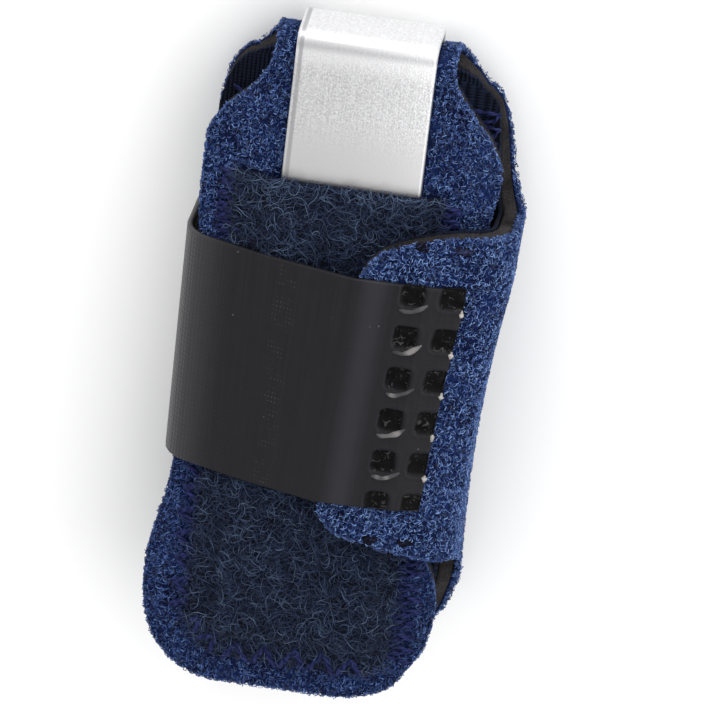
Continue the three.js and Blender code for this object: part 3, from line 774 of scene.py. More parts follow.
# %% [markdown]
# Where the strip starts to bend, its skin is stretched and shows a grainy dull line across. The line is a
# narrow band on the strip's own length axis, broken up by the same speckle. Beside the line the metal's
# colour is painted lighter, a painted highlight along the bend, and by the pocket's mouth, where no hand
# reaches, it stays matt.

# %% Crease line
crease_y = to_frame((0, stay_path[stops[-2], 1], 0))[1] + 0.0003
near = away_from(tree, along_strip, crease_y)
matt = mixed(tree, ranged(tree, handled, 0.3, 1.0, 0.85, 0.0), silver, (0.6, 0.59, 0.592, 1))
# Painted highlight: the colour is lightened beside the crease, where the bend catches the light.
highlight_band = ranged(tree, near, 0.0008, 0.0032, 0.45, 0.0, smooth=True)
highlit_metal = mixed(tree, highlight_band, matt, (0.93, 0.93, 0.94, 1))
band = ranged(tree, near, 0.0, 0.0009, 1.0, 0.0, smooth=True)
dulled = mixed(tree, worked(tree, "MULTIPLY", band, speck), highlit_metal, (0.34, 0.34, 0.35, 1))
print("crease at", round(1000 * crease_y, 2), "mm")

# %% [markdown]
# A thin grey line is painted just inside the strip's left edge: a painted dark reflection on its rolled edge.
# It is a narrow band on the axis across the strip, mixed in last so that it runs over the crease too.

# %% Painted dark reflection at the left edge
edge_reflection_x = to_frame((-STAY_WIDTH / 2 + 0.56, 0, 0))[0]
# Painted dark reflection: the rolled left edge is darkened in the colour.
edge_reflection = ranged(tree, away_from(tree, across_strip, edge_reflection_x), 0.00014, 0.0003, 0.65, 0.0, smooth=True)
feed(tree, shader, Base_Color=mixed(tree, edge_reflection, dulled, (0.3, 0.3, 0.31, 1)))
print("sheared line at", round(1000 * edge_reflection_x, 2), "mm")

# %% [markdown]
# ## The hook strap
# The strap is moulded tape: a thin black ribbon with a satin back and tiny hooks on its inner face. It is
# welded to the wing through two columns of hot pins, which leave square pits with melted lips. A fine grid
# over the weld lets each pit be pressed into the face by a smooth mask.

# %% Weld pits as places on the strap
PIT_RIM, PIT_SLOPE = 1.08, 0.2
pit_places = []
lengths = np.linspace(0, 16, 800)
across_x = on_strap(lengths, np.full(800, MID_Y), 0)[:, 0]
for column_x in PIT_COLUMN_X:
    along_here = np.interp(-column_x, -across_x, lengths)
    for row in range(-1, PIT_ROWS + 1):
        y = STRAP_MID_Y + STRAP_SKEW * along_here + PIT_MID_SHIFT + (row - (PIT_ROWS - 1) / 2) * PIT_PITCH
        pit_places.append((column_x, row, along_here, y))
on_tape = [pit for pit in pit_places if 0 <= pit[1] < PIT_ROWS]
beside_tape = [pit for pit in pit_places if pit not in on_tape]
print(len(on_tape), "pits,", len(beside_tape), "marks beside the tape")


def pit_mask(along, y, pit, side):
    """1 inside a pit's rounded square, falling smoothly to 0 at its rim."""
    u, v = (along - pit[2]) / (side / 2), (y - pit[3]) / (side / 2)
    reach = (np.abs(u) ** 5 + np.abs(v) ** 5) ** 0.2
    return eased((PIT_RIM - reach) / PIT_SLOPE)


# %% Strap sheet
TAPE_RIM = np.array([0.0, 0.05, 0.12, 0.22])
PIT_FLOOR, PRESS_LIMIT, RIM_SWELL = 0.42, 0.52, 0.06
rng = np.random.default_rng(11)
rows = np.concatenate([
    TAPE_RIM,
    np.arange(0.35, 13.0, 0.22),
    np.arange(13.2, STRAP_LENGTH - 0.4, 1.1),
    STRAP_LENGTH - TAPE_RIM[::-1],
])
along, across, to_edge = sheet_grid(rows, *strap_edges(rows), np.linspace(0, 1, 110), TAPE_RIM, 0.4)
press = np.zeros_like(across)
for pit in on_tape:
    inside = pit_mask(along, across, pit, PIT_SIDE)
    phase = rng.uniform(0, 6.28, 4)
    tilt = rng.uniform(-0.07, 0.07, 2)
    beside, above = along - pit[2], across - pit[3]
    crease = 0.05 * np.sin(3.1 * beside + 1.7 * above + phase[0])
    crease += 0.05 * np.sin(-1.9 * beside + 3.6 * above + phase[1])
    swell = pit_mask(along, across, pit, PIT_SIDE + 0.8) - inside
    press += inside * (PIT_FLOOR + crease + tilt[0] * beside + tilt[1] * above)
    press -= RIM_SWELL * np.clip(swell, 0, 1)
press = np.minimum(press, PRESS_LIMIT)
come_in = rounded(to_edge, STRAP_THICK)
outer = on_strap(along, across, -STRAP_THICK + come_in + press)
strap_points = both_faces(outer, on_strap(along, across, -come_in))
strap_uv = np.stack([along, across], -1).reshape(-1, 2) / 100
pressed = np.clip(press / PIT_DEPTH, 0, 1).reshape(-1)
print("pressed at most", press.max().round(2), "mm")

# %% [markdown]
# The tape's back is satin and nearly black. Its colour is painted paler where it rides over the wing's end
# and where it turns down at the left, painted highlights of those bends. It has a few specks of dust and rows
# of faint dots where hooks stand behind, and the dots are painted lighter as glints.
# The satin is a thin coat. In the melted pits the coat is left only on the crinkles, so they are black with
# glints. The stored depth of the pits drives the change.

# %% Strap tone
ridge, turn_start, turn_end, turned_under = (
    strap_ends[name][0] / 100 for name in ("over_wing", "front", "shoulder", "left"))
tape, tree, shader = new_finish("Black hook tape", Specular_IOR_Level=0.08, Coat_Roughness=0.4)
tape_map = node(tree, "ShaderNodeUVMap", uv_map="cloth").outputs[0]
along_tape, _, _ = node(tree, "ShaderNodeSeparateXYZ", {"Vector": tape_map}).outputs
cloud = noise(tree, tape_map, Scale=60.0, Detail=5.0, Roughness=0.6)
stretch = node(tree, "ShaderNodeMapping", {"Vector": tape_map, "Scale": (260.0, 6.0, 1.0)}).outputs[0]
streak = ranged(tree, noise(tree, stretch, Scale=1.0, Detail=2.0), 0.3, 0.75)
tone = mixed(tree, streak, rgb(21, 20, 24), rgb(26, 25, 30))
# Painted highlight: the tape is paler along the ridge over the wing's end.
highlight_band = ranged(tree, away_from(tree, along_tape, ridge - 0.025), 0.002, 0.022, 0.6, 0.0, smooth=True)
tone = mixed(tree, highlight_band, tone, rgb(45, 44, 50))
# Painted highlight: the tape is paler where it turns down at the left.
turning = ranged(tree, along_tape, turn_start + 0.02, turn_end + 0.01, smooth=True)
in_sight = ranged(tree, along_tape, turned_under, turned_under + 0.05, 1.0, 0.0)
turn_highlight = worked(tree, "MULTIPLY", turning, in_sight)
tone = mixed(tree, turn_highlight, tone, rgb(58, 57, 60))
dust = node(tree, "ShaderNodeTexVoronoi", {"Vector": tape_map, "Scale": 38.0}).outputs["Distance"]
tone = mixed(tree, ranged(tree, dust, 0.03, 0.05, 0.55, 0.0), tone, rgb(96, 95, 98))
print("ridge at", round(100 * ridge, 1), "mm along the strap")

# %% Rows of dots with painted glints, and the black of the pits
DOT_ROWS_AT = 18.0
dots = worked(tree, "MULTIPLY", bands(tree, tape_map, "X", 78.0, 0.2), bands(tree, tape_map, "Y", 63.0, 0.2))
rows_here = ranged(tree, away_from(tree, along_tape, DOT_ROWS_AT / 100), 0.006, 0.016, 1.0, 0.0)
# The dots are moulded relief; their lighter colour is a painted glint.
dot_glints = worked(tree, "MULTIPLY", ranged(tree, dots, 0.72, 0.95, 0.0, 0.5), ranged(tree, cloud, 0.48, 0.6))
tone = mixed(tree, worked(tree, "MULTIPLY", dot_glints, rows_here), tone, rgb(92, 91, 95))
melt = node(tree, "ShaderNodeAttribute", attribute_name="pressed").outputs["Fac"]
feed(tree, shader, Base_Color=mixed(tree, melt, tone, rgb(4, 4, 5)))
print("rows of dots at", DOT_ROWS_AT, "mm along the strap")

# %% Strap gloss and relief
crinkle = ranged(tree, noise(tree, tape_map, Scale=130.0, Detail=3.0, Distortion=1.4), 0.57, 0.66)
satin = worked(tree, "MULTIPLY_ADD", turn_highlight, 0.5, ranged(tree, cloud, 0.0, 1.0, 0.14, 0.26))
faint = worked(tree, "ADD", dots, cloud)
beaded = worked(tree, "MULTIPLY", faint, ranged(tree, along_tape, 0.17, 0.27, 0.05, 0.6))
coat, height = (
    node(tree, "ShaderNodeMix", {0: melt, 2: plain, 3: crinkle}, data_type="FLOAT").outputs[0]
    for plain in (satin, beaded))
facing = bumped(tree, height, 0.6, 0.00016)
feed(tree, shader, Roughness=ranged(tree, cloud, 0.0, 1.0, 0.5, 0.66), Coat_Weight=coat, Normal=facing,
     Coat_Normal=facing)
strap = add_piece("strap_tape", strap_points, closed_faces(*across.shape), tape, ["hook_strap"], "hook_tape",
                  values={"pressed": np.concatenate([pressed, 0 * pressed])},
                  uv=np.concatenate([strap_uv, strap_uv]))

# %% [markdown]
# ## Melted lips
# The hot pins push a lip of plastic out below each pit of one column, and little beads at the tape's end.
# Each is a short bent sliver, made as a tube that tapers at both ends, and its pale grey is a painted
# highlight, brightest on the beads. The helper makes many tubes at once, so the hooks, the fibres and the
# threads can use it too.

# %% Tubes along many lines
def unit(ways):
    """Directions made one long."""
    return ways / (np.linalg.norm(ways, axis=-1, keepdims=True) + 1e-9)


def tubes(centres, radii, sides=3):
    """Closed tubes along many lines of points at once: points and triangles of all of them."""
    count, steps, _ = centres.shape
    along = unit(np.gradient(centres, axis=1))
    spare = np.where(np.abs(along[:, :1, 2:]) < 0.8, [[[0.0, 0.0, 1.0]]], [[[1.0, 0.0, 0.0]]])
    side = unit(np.cross(along, np.broadcast_to(spare, along.shape)))
    up = np.cross(along, side)
    turn = np.arange(sides) * 2 * np.pi / sides
    ring = side[:, :, None] * np.cos(turn)[:, None] + up[:, :, None] * np.sin(turn)[:, None]
    points = centres[:, :, None] + ring * np.broadcast_to(radii, (count, steps))[:, :, None, None]
    at = np.arange(count * steps * sides).reshape(count, steps, sides)
    a, b = at[:, :-1], at[:, 1:]
    c, d = np.roll(b, -1, axis=2), np.roll(a, -1, axis=2)
    faces = [np.stack([a, b, c], -1).reshape(-1, 3), np.stack([a, c, d], -1).reshape(-1, 3)]
    for k in range(1, sides - 1):
        faces.append(np.stack([at[:, 0, 0], at[:, 0, k], at[:, 0, k + 1]], -1))
        faces.append(np.stack([at[:, -1, 0], at[:, -1, k + 1], at[:, -1, k]], -1))
    return points.reshape(-1, 3), np.concatenate(faces)


print("a tube of two points has", len(tubes(np.array([[(0, 0, 0), (0, 0, 1.0)]]), 0.1)[1]), "triangles")

# %% Weld lips
LIP_POINTS, LIP_SIDES = 18, 6
# The lips' pale grey colour is a painted highlight.
lip_finish = fibre_finish("Melted tape lip", (22, 22, 24), (66, 66, 68), (176, 172, 168),
                          Specular_IOR_Level=0.3)
lines, widths, lip_highlight = [], [], []
t = np.linspace(0, 1, LIP_POINTS)
for column_x, row, pit_along, pit_y in on_tape:
    if row == 0:
        continue
    if column_x == PIT_COLUMN_X[0]:
        s = pit_along + rng.uniform(0.95, 1.25) - 2.8 * t
        y = pit_y - PIT_SIDE / 2 - 0.4 - 0.2 * np.sin(np.pi * t) + rng.uniform(0.75, 1.05) * t**2
        full = 0.3
        lip_highlight.append(np.interp(t, np.linspace(0, 1, 6), rng.uniform(0.25, 0.7, 6)))
    else:
        s = np.maximum(0.12, pit_along - 1.1 - 0.4 * t)
        y = pit_y - PIT_SIDE / 2 + 0.1 - 0.75 * t
        full = 0.24
        lip_highlight.append(rng.uniform(0.7, 1.0, LIP_POINTS))
    y = y + np.interp(t, np.linspace(0, 1, 9), rng.uniform(-0.06, 0.06, 9))
    lines.append(on_strap(s, y, -STRAP_THICK - 0.02 - 0.1 * np.sin(np.pi * t)))
    uneven = 1 + 0.3 * np.sin(rng.uniform(4, 9) * t + rng.uniform(0, 6.28))
    widths.append(full * uneven * np.sin(np.pi * np.clip(t, 0.04, 0.96)) ** 0.6 + 0.02)
points, faces = tubes(np.array(lines), np.array(widths), LIP_SIDES)
shades = np.repeat(np.concatenate(lip_highlight), LIP_SIDES)
lips = add_piece("weld_lips", points, faces, lip_finish, slot="hook_tape", values={"shade": shades})

# %% [markdown]
# ## Hooks on the inner face
# Where the strap curls round the left side its inner face shows, covered in moulded hooks. Each is a short
# stem with a bent head. They are laid in rows only where the strap stands clear of the wrap.

# %% Hooks
HOOK_PITCH, HOOK_RADIUS, HOOK_POINTS, HOOK_SIDES = 0.78, 0.09, 5, 4
lengths = np.linspace(0, STRAP_LENGTH, 2000)
walked = on_strap(lengths, np.full(2000, MID_Y), 0)
clear = lengths[(walked[:, 0] < -13.8) & (walked[:, 2] > 4)]
row_at = np.arange(clear.min(), clear.max(), HOOK_PITCH)
grid_s, grid_y = np.meshgrid(row_at, np.arange(-12.2, 12.3, HOOK_PITCH), indexing="ij")
grid_s = grid_s.ravel()
grid_y = grid_y.ravel() + STRAP_MID_Y + STRAP_SKEW * grid_s
t = np.linspace(0, 1, HOOK_POINTS)
rise = np.broadcast_to(np.minimum(t * 0.8, 0.42), (len(grid_s), HOOK_POINTS))
bend_over = np.clip(t - 0.45, 0, 1) ** 1.5 * 0.45
side = np.where(np.arange(len(grid_s)) % 2, 1, -1)
centres = on_strap(grid_s[:, None], grid_y[:, None] + side[:, None] * bend_over, rise)
points, faces = tubes(centres, HOOK_RADIUS, HOOK_SIDES)
shades = np.repeat(rng.uniform(0.1, 0.5, len(grid_s)), HOOK_POINTS * HOOK_SIDES)
hook_finish = fibre_finish("Black hooks", (8, 8, 9), (26, 26, 28), (70, 70, 74), Specular_IOR_Level=0.5)
hooks = add_piece("strap_hooks", points, faces, hook_finish, slot="hook_tape", values={"shade": shades})

# %% [markdown]
# ## Loop pile
# The blue cloth is an unbroken loop: thousands of fine looped fibres stand out of a knitted ground. Each
# fibre is an arch with a sideways curl, both ends in the ground, with its own size, lean and tone. Each fibre
# is painted darker near the ground and lighter at its top, painted shade and light. Fibres
# are only grown where the cloth is bare, and left out under the strip, the patches and the strap.

# %% Fibre grower
NUDGE, ROOT_DEPTH = 0.05, 0.06
LOOP_RADIUS = (0.038, 0.058)


def frames_at(place, along, across):
    """Points on the cloth's ground with their outward direction and two directions in the sheet."""
    here = place(along, across, GROUND_DEPTH)
    out = unit(here - place(along, across, GROUND_DEPTH + NUDGE))
    ahead = place(along + NUDGE, across, GROUND_DEPTH) - place(along - NUDGE, across, GROUND_DEPTH)
    ahead = unit(ahead - out * (ahead * out).sum(1, keepdims=True))
    return here, out, ahead, np.cross(out, ahead)


def loop_fibres(frames, rng, steps=4, height=(0.2, 0.46), width=(0.26, 0.66)):
    """Arched and curled fibres on a sheet, their radii and their shades, painted darker at the roots and
    lighter at the top.
    """
    here, out, ahead, beside = frames
    count = len(here)

    def draw(low, high):
        return rng.uniform(low, high, count)[:, None, None]

    angle = draw(0, 2 * np.pi)[:, 0]
    forward = ahead * np.cos(angle) + beside * np.sin(angle)
    aside = np.cross(out, forward)
    t = np.linspace(0, 1, steps)[None, :, None]
    tall, wide, curl, lean = draw(*height), draw(*width), draw(-0.3, 0.3), draw(-0.3, 0.3)
    arch = np.sin(np.pi * t)
    line = (
        here[:, None] - ROOT_DEPTH * out[:, None]
        + out[:, None] * (tall * arch)
        + forward[:, None] * (wide * (t - 0.5) + lean * arch)
        + aside[:, None] * (curl * np.sin(2 * np.pi * t + 0.6))
    )
    radius = draw(*LOOP_RADIUS)[:, 0] * np.ones(steps)
    # Painted light and shade: each fibre is lighter at the top of its arch and darker at its roots.
    shade = np.clip(rng.beta(1.7, 2.0, count)[:, None] * (0.3 + 0.9 * arch[:, :, 0]), 0, 1)
    return line, radius, shade


def grow(name, lines, finish, slot, sides=3):
    """One joined piece from lists of fibres."""
    line, radius, shade = (np.concatenate(parts) for parts in zip(*lines))
    points, faces = tubes(line, radius, sides)
    values = {"shade": np.repeat(shade.ravel(), sides)}
    return add_piece(name, points, faces, finish, slot=slot, values=values)


print("loops are rooted", GROUND_DEPTH, "mm under the outer face")

# %% Where the pile is bare
UNDER_STRAP, UNDER_WING, WING_FROM_X = (-31.0, -10.0), (-36.5, -5.0), 5.0
REAR_PANEL_END = wrap_ends["rear_right"][0] - 4
MARK_HALF = (0.85, 0.52)
STRIP_HALF = STAY_WIDTH / 2 + 0.1
BEYOND = 99.0
# Covered places on the rear panel: from and to across the toe, from and to along it
REAR_COVERED = (
    (-12.0, 12.0, -45.7, 7.7), (-STRIP_HALF, STRIP_HALF, 7.7, BEYOND),
    (-BEYOND, STRAP_END_X, -33.0, -8.5), (-9.5, 9.5, 6.0, BEYOND),
)


def bare_front(along, x):
    """True where the front panel or the neck shows its pile."""
    left, right = front_edges(along)
    place = FRONT_END + FRONT_LENGTH - along
    half = np.where(place > 0, STRIP_HALF, patch_reach(x, place, FRONT_PATCH) - 0.3)
    covered = (np.abs(x) < half) & (place > FRONT_PATCH[0, 0] + 0.3)
    strapped = (place > UNDER_STRAP[0]) & (place < UNDER_STRAP[1])
    winged = (x > WING_FROM_X) & (place > UNDER_WING[0]) & (place < UNDER_WING[1])
    buried = along < 1.0
    return (x > left) & (x < right) & ~covered & ~strapped & ~winged & ~buried


def weld_mark(row, pit_along, pit_y):
    """Where a hot pin just missed the tape, on the wrap."""
    beyond = 0.3 if row == PIT_ROWS else 0.0
    return wrap_ends["side"][0] + STRAP_INSET + pit_along - beyond / 2, pit_y + beyond


def bare_wrap(along, y):
    """True where the rear panel or the wing shows its pile."""
    low, high = wrap_edges(along)
    x = along + REAR_LEFT_X
    open_cloth = (y > low) & (y < high)
    for x_from, x_to, y_from, y_to in REAR_COVERED:
        covered = (x > x_from) & (x < x_to) & (y > y_from) & (y < y_to)
        open_cloth &= ~(covered & (along < REAR_PANEL_END))
    on_tape_along = along - wrap_ends["side"][0] - STRAP_INSET
    tape_low, tape_high = strap_edges(on_tape_along)
    open_cloth &= ~((on_tape_along > 0.15) & (y > tape_low + 0.15) & (y < tape_high - 0.15))
    for _, row, pit_along, pit_y in beside_tape:
        mark_along, mark_y = weld_mark(row, pit_along, pit_y)
        open_cloth &= ((along - mark_along) / MARK_HALF[0]) ** 2 + ((y - mark_y) / MARK_HALF[1]) ** 2 > 1
    return open_cloth


def scatter(count, along_range, across_range, keep, rng):
    """Chance places on a sheet, where it is bare."""
    along = rng.uniform(*along_range, count)
    across = rng.uniform(*across_range, count)
    kept = keep(along, across)
    return along[kept], across[kept]


print("rear panel ends at", round(REAR_PANEL_END, 1), "mm along the wrap")

# %% Grow the pile
DENSITY = 15.0
rng = np.random.default_rng(5)
# Painted light and shade: the pile on the side and the wing is painted lighter, and the lower end of the
# front panel darker.
REAR_SPAN, LOW_SHADE_LENGTH, LOW_SHADE_GAIN = (-56, 12), 30, 0.8
for name, place, keep, along_range, across_range, share, painted_gain in (
    ("pile_front", on_front, bare_front, (0, FRONT_LENGTH), (-17.5, 15.6), 0.95, 0.97),
    ("pile_side", on_wrap, bare_wrap, (REAR_PANEL_END, wrap_ends["side"][0]), REAR_SPAN, 0.75, 1.15),
    ("pile_wing", on_wrap, bare_wrap, (wrap_ends["side"][0], WRAP_LENGTH), REAR_SPAN, 1.0, 1.2),
    ("pile_rear", on_wrap, bare_wrap, (0, REAR_PANEL_END), REAR_SPAN, 0.15, 0.97),
):
    area = (along_range[1] - along_range[0]) * (across_range[1] - across_range[0])
    along, across = scatter(int(area * (DENSITY * share)), along_range, across_range, keep, rng)
    line, radius, shade = loop_fibres(frames_at(place, along, across), rng)
    # Painted shade: the lower end of the front panel is darker.
    low_end_shade = (name == "pile_front") & (along > front_ends["front"][0] - LOW_SHADE_LENGTH)
    shade = np.clip(shade * np.where(low_end_shade, LOW_SHADE_GAIN, painted_gain)[:, None], 0, 1)
    grow(name, [(line, radius, shade)], pile_fibre, "loop_pile")
    print(name, len(along), "fibres")

# %% [markdown]
# At a cut edge the loops are cut through and stand out sideways, so the rim is fuzzy too. The outline of each
# sheet is walked once round, and fibres are rooted on the rim at chance depths, pointing out of the edge.

# %% Roots on a rim
def outline(edges, rows):
    """The outline of a sheet as lengths and distances across, walked with the cloth on the left."""
    low, high = edges(rows)
    end = np.linspace(low[-1], high[-1], 60)
    start = np.linspace(high[0], low[0], 60)
    along = np.concatenate([rows, np.full(60, rows[-1]), rows[::-1], np.full(60, rows[0])])
    return along, np.concatenate([low, end, high[::-1], start])


def rim_frames(place, edges, rows, per_mm, keep, rng):
    """Roots on a rim, each with a direction out of the edge and two directions beside it."""
    sheet = np.array(outline(edges, rows))
    walked = np.concatenate([[0], np.cumsum(np.hypot(*np.diff(sheet)))])
    at = rng.uniform(0, walked[-1], int(walked[-1] * per_mm))

    def spots(lengths):
        return np.array([np.interp(lengths, walked, line) for line in sheet])

    here = spots(at)
    way = spots(at + 0.1) - spots(at - 0.1)
    way /= np.hypot(*way) + 1e-9
    outward = np.array([way[1], -way[0]])
    kept = keep(*(here - 0.4 * outward))
    here, outward = here[:, kept], outward[:, kept]
    depth = rng.uniform(0.1, 0.75, len(here[0]))
    root = place(*here, depth)
    sideways = unit(root - place(*(here - NUDGE * outward), depth))
    face = unit(place(*here, depth - NUDGE) - root)
    tip_over = rng.uniform(-0.1, 1.0, len(root))[:, None]
    out = sideways * np.cos(tip_over) + face * np.sin(tip_over)
    ahead = np.cross(sideways, face)
    return root - NUDGE * sideways, out, ahead, np.cross(out, ahead)


# %% Fuzzy rims
RIM = 13.0
rims = []
for place, edges, rows, keep in (
    (on_front, front_edges, np.linspace(7, FRONT_LENGTH, 900), bare_front),
    (on_wrap, wrap_edges, np.linspace(0, WRAP_LENGTH, 900), bare_wrap),
):
    roots = rim_frames(place, edges, rows, RIM, keep, rng)
    rims.append(loop_fibres(roots, rng, height=(0.15, 0.36), width=(0.3, 0.8)))
grow("pile_rims", rims, pile_fibre, "loop_pile")

# %% [markdown]
# ## Weld marks beside the tape
# The pins of the welding tool are in longer columns than the tape is wide. The ones that missed the tape left
# small dark scorched spots in the pile. Each is a low crinkled button, made from a square grid drawn into a
# disc.

# %% Weld marks
mark_finish = fibre_finish("Scorched pile", (6, 6, 14), (15, 16, 32), (52, 60, 94), Specular_IOR_Level=0.1)
u, v = np.meshgrid(np.linspace(-1, 1, 13), np.linspace(-1, 1, 11), indexing="ij")
disc_u, disc_v = u * np.sqrt(1 - v**2 / 2), v * np.sqrt(1 - u**2 / 2)
points, faces, shades = [], [], []
fade = 1 - np.maximum(np.abs(u), np.abs(v)) ** 3
for column_x, row, pit_along, pit_y in beside_tape:
    mark_along, mark_y = weld_mark(row, pit_along, pit_y)
    crumple = rng.uniform(0, 1, u.shape)
    faint = column_x == PIT_COLUMN_X[1] and row == PIT_ROWS
    crumple = 0.55 + 0.45 * crumple if faint else crumple
    ring_u, ring_v = mark_along + 0.9 * disc_u, mark_y + 0.55 * disc_v
    top = on_wrap(ring_u, ring_v, GROUND_DEPTH - fade * (0.04 + 0.14 * crumple))
    under = on_wrap(ring_u, ring_v, GROUND_DEPTH + 0.1)
    faces.append(closed_faces(*u.shape) + 2 * u.size * len(faces))
    points.append(both_faces(top, under))
    shades += [crumple.ravel() ** 2, 0 * crumple.ravel()]
add_piece("weld_marks", np.concatenate(points), np.concatenate(faces), mark_finish, slot="loop_pile",
          values={"shade": np.concatenate(shades)})

# %% [markdown]
# ## Long fibres on the patches
# The patches are brushed: long fine fibres lie on them in loose curls. Each fibre is a wandering line just
# above the cloth, steered by a smooth change of heading, so it curls and never kinks.

# %% Patch fibre builder
FIBRE_HIGH, FIBRE_STEPS, FIBRE_LENGTH, FIBRE_RADIUS = 0.6, 7, (1.0, 2.8), (0.019, 0.033)


def patch_fibres(place, table, along, x, rng):
    """Wandering fibres on a patch, their radii and their shades, painted lighter where they stand higher."""
    count, steps = len(along), FIBRE_STEPS

    def draw(low, high):
        return rng.uniform(low, high, count)[:, None]

    step = draw(*FIBRE_LENGTH) / (steps - 1)
    t = np.linspace(0, 1, steps)[None, :]
    heading = draw(0, 2 * np.pi) + rng.normal(0, 1.7, count)[:, None] * t
    heading = heading + draw(0.2, 0.8) * np.sin(draw(3, 7) * t + draw(0, 6.28))
    fx = x[:, None] + np.cumsum(np.cos(heading) * step, axis=1)
    fy = along[:, None] + np.cumsum(np.sin(heading) * step, axis=1)
    fx -= fx.mean(1, keepdims=True) - x[:, None]
    fy -= fy.mean(1, keepdims=True) - along[:, None]
    fy = np.minimum(fy, table[-1, 0] + 0.5)
    over = draw(0.12, FIBRE_HIGH) * np.sin(np.pi * (0.08 + 0.84 * t)) + 0.02
    lift = SEAT_GAP + patch_lift(fx, np.clip(fy, table[0, 0], table[-1, 0]), table) + POCKET_THICK
    outside = np.maximum(0, np.abs(fx) - patch_reach(fx, fy, table) + 0.3)
    lift = lift - np.clip(outside, 0, 0.5)
    line = place(fx, fy, lift + over)
    radius = draw(*FIBRE_RADIUS) * np.ones(steps)
    # Painted light: each fibre is lighter where it stands higher above the cloth.
    shade = np.clip(rng.beta(2.0, 2.4, count)[:, None] * (0.55 + 0.6 * over / FIBRE_HIGH), 0, 1)
    return line, radius, shade


print("patch fibres are", FIBRE_LENGTH, "mm long")

# %% Grow the patch fibres
FIBRES = 8.2
PATCH_WIDE, MOUTH_PAINTED_LIGHT, FLOOR_CLEAR = 22.0, 0.3, 0.06
for name, table, place, spans, share in (
    ("fuzz_upper", FRONT_PATCH, on_front_patch, (-11.0, 0.0), 1.0),
    ("fuzz_lower", FRONT_PATCH, on_front_patch, (-54.0, -29.5), 1.0),
    ("fuzz_rear", REAR_PATCH, on_rear_patch, (-46.0, 8.0), 0.1),
):
    count = int((spans[1] - spans[0]) * PATCH_WIDE * FIBRES * share)
    along = rng.uniform(*spans, count)
    left, right = (smooth_table(table, column, along) + 0.5 for column in (1, 2))
    x = rng.uniform(0, 1, count) * (left + right) - left
    line, radius, shade = patch_fibres(place, table, along, x, rng)
    # Painted light: the fibres by the pocket's mouth are painted lighter.
    if name == "fuzz_upper":
        shade = np.clip(shade + MOUTH_PAINTED_LIGHT * np.exp(along / 1.2)[:, None], 0, 1)
    if name == "fuzz_rear":
        line[:, :, 2] = np.maximum(line[:, :, 2], FLOOR_CLEAR)
    grow(name, [(line, radius, shade)], patch_fibre, "brushed_patch")

# %% [markdown]
# ## Zigzag stitches
# Indigo thread sews the patches down in a wide zigzag that bites both the patch and the pile, with a dense
# ladder of stitches at the lower right. Each run is one thread that dips where the needle went in.

# %% Stitch builder
STITCH_RISE, STITCH_SWAY = 0.34, 0.12


def zigzag(start, end, width, pitch, place, lift, samples=10):
    """One thread as a line of points: legs from side to side, dipping at each needle hole."""
    start, end = np.array(start, float), np.array(end, float)
    length = np.linalg.norm(end - start)
    legs = max(2, int(round(2 * length / pitch)))
    way = (end - start) / length
    aside = np.array([-way[1], way[0]])
    uneven = STITCH_SWAY * np.sin(np.arange(legs + 1) * 2.4 + start[1])
    holes = np.array([
        start + way * (length * k / legs + uneven[k]) + aside * (width / 2 + uneven[k]) * (1 if k % 2 else -1)
        for k in range(legs + 1)
    ])
    t = np.linspace(0, 1, samples, endpoint=False)
    flat = np.concatenate([a + (b - a) * t[:, None] for a, b in zip(holes[:-1], holes[1:])])
    arch = np.tile(np.sin(np.pi * t), legs)
    return place(flat[:, 0], flat[:, 1], lift(flat[:, 0], flat[:, 1]) + STITCH_RISE * arch)


# %% Thread builder
TWIST_LENGTH, STRAND_SWING, STRAND_RADIUS, STRAND_SIDES, LOWEST = 2.2, 0.55, 0.62, 5, 0.05


def sew(name, runs, radius):
    """All runs as one piece. Each thread is two plies twisted together."""
    points, faces, count = [], [], 0
    for run in runs:
        way = np.gradient(run, axis=0)
        walked = np.cumsum(np.linalg.norm(way, axis=1))[:, None]
        way = unit(way)
        aside = unit(np.cross(way, [0, 0, 1]))
        up = np.cross(aside, way)
        turn = 2 * np.pi * walked / TWIST_LENGTH
        swing = STRAND_SWING * radius * (aside * np.cos(turn) + up * np.sin(turn))
        for strand in (run + swing, run - swing):
            strand_points, strand_faces = tubes(strand[None], STRAND_RADIUS * radius, STRAND_SIDES)
            points.append(strand_points)
            faces.append(strand_faces + count)
            count += len(strand_points)
    points = np.concatenate(points)
    points[:, 2] = np.maximum(points[:, 2], LOWEST)
    shades = 0.2 + 0.45 * np.abs(np.sin(points[:, 0] * 2.1 + points[:, 1] * 2.7))
    return add_piece(name, points, np.concatenate(faces), thread_finish, slot="brushed_patch",
                     values={"shade": shades})


def over_front(x, along):
    """Height of the sewn surface above the front panel's face."""
    reach = patch_reach(x, along, FRONT_PATCH)
    inside = np.clip((reach - np.abs(x)) / 0.8, 0, 1) * (along > FRONT_PATCH[0, 0]) * (along < 0.3)
    lift = SEAT_GAP + POCKET_THICK + patch_lift(x, np.clip(along, FRONT_PATCH[0, 0], 0), FRONT_PATCH)
    return inside * lift - 0.05


print("threads twist once in", TWIST_LENGTH, "mm")

# %% Sew the front patch
FRONT_RUNS = (
    ((-12.8, -0.8), (-12.8, -11.0), 2.6, 1.3),
    ((-12.9, -31.5), (-13.1, -50.2), 2.5, 2.7),
    ((-12.4, -50.6), (-8.6, -53.6), 2.4, 2.7),
    ((-8.0, -53.6), (9.2, -53.6), 2.4, 3.1),
    ((10.6, -0.8), (10.5, -5.0), 2.2, 1.5),
)
LADDER_RUN = ((11.0, -37.3), (10.6, -52.6), 3.6, 1.45)
sew("front_stitches", [zigzag(*run, on_front_patch, over_front) for run in FRONT_RUNS], 0.34)
sew("ladder_stitches", [zigzag(*LADDER_RUN, on_front_patch, over_front)], 0.24)

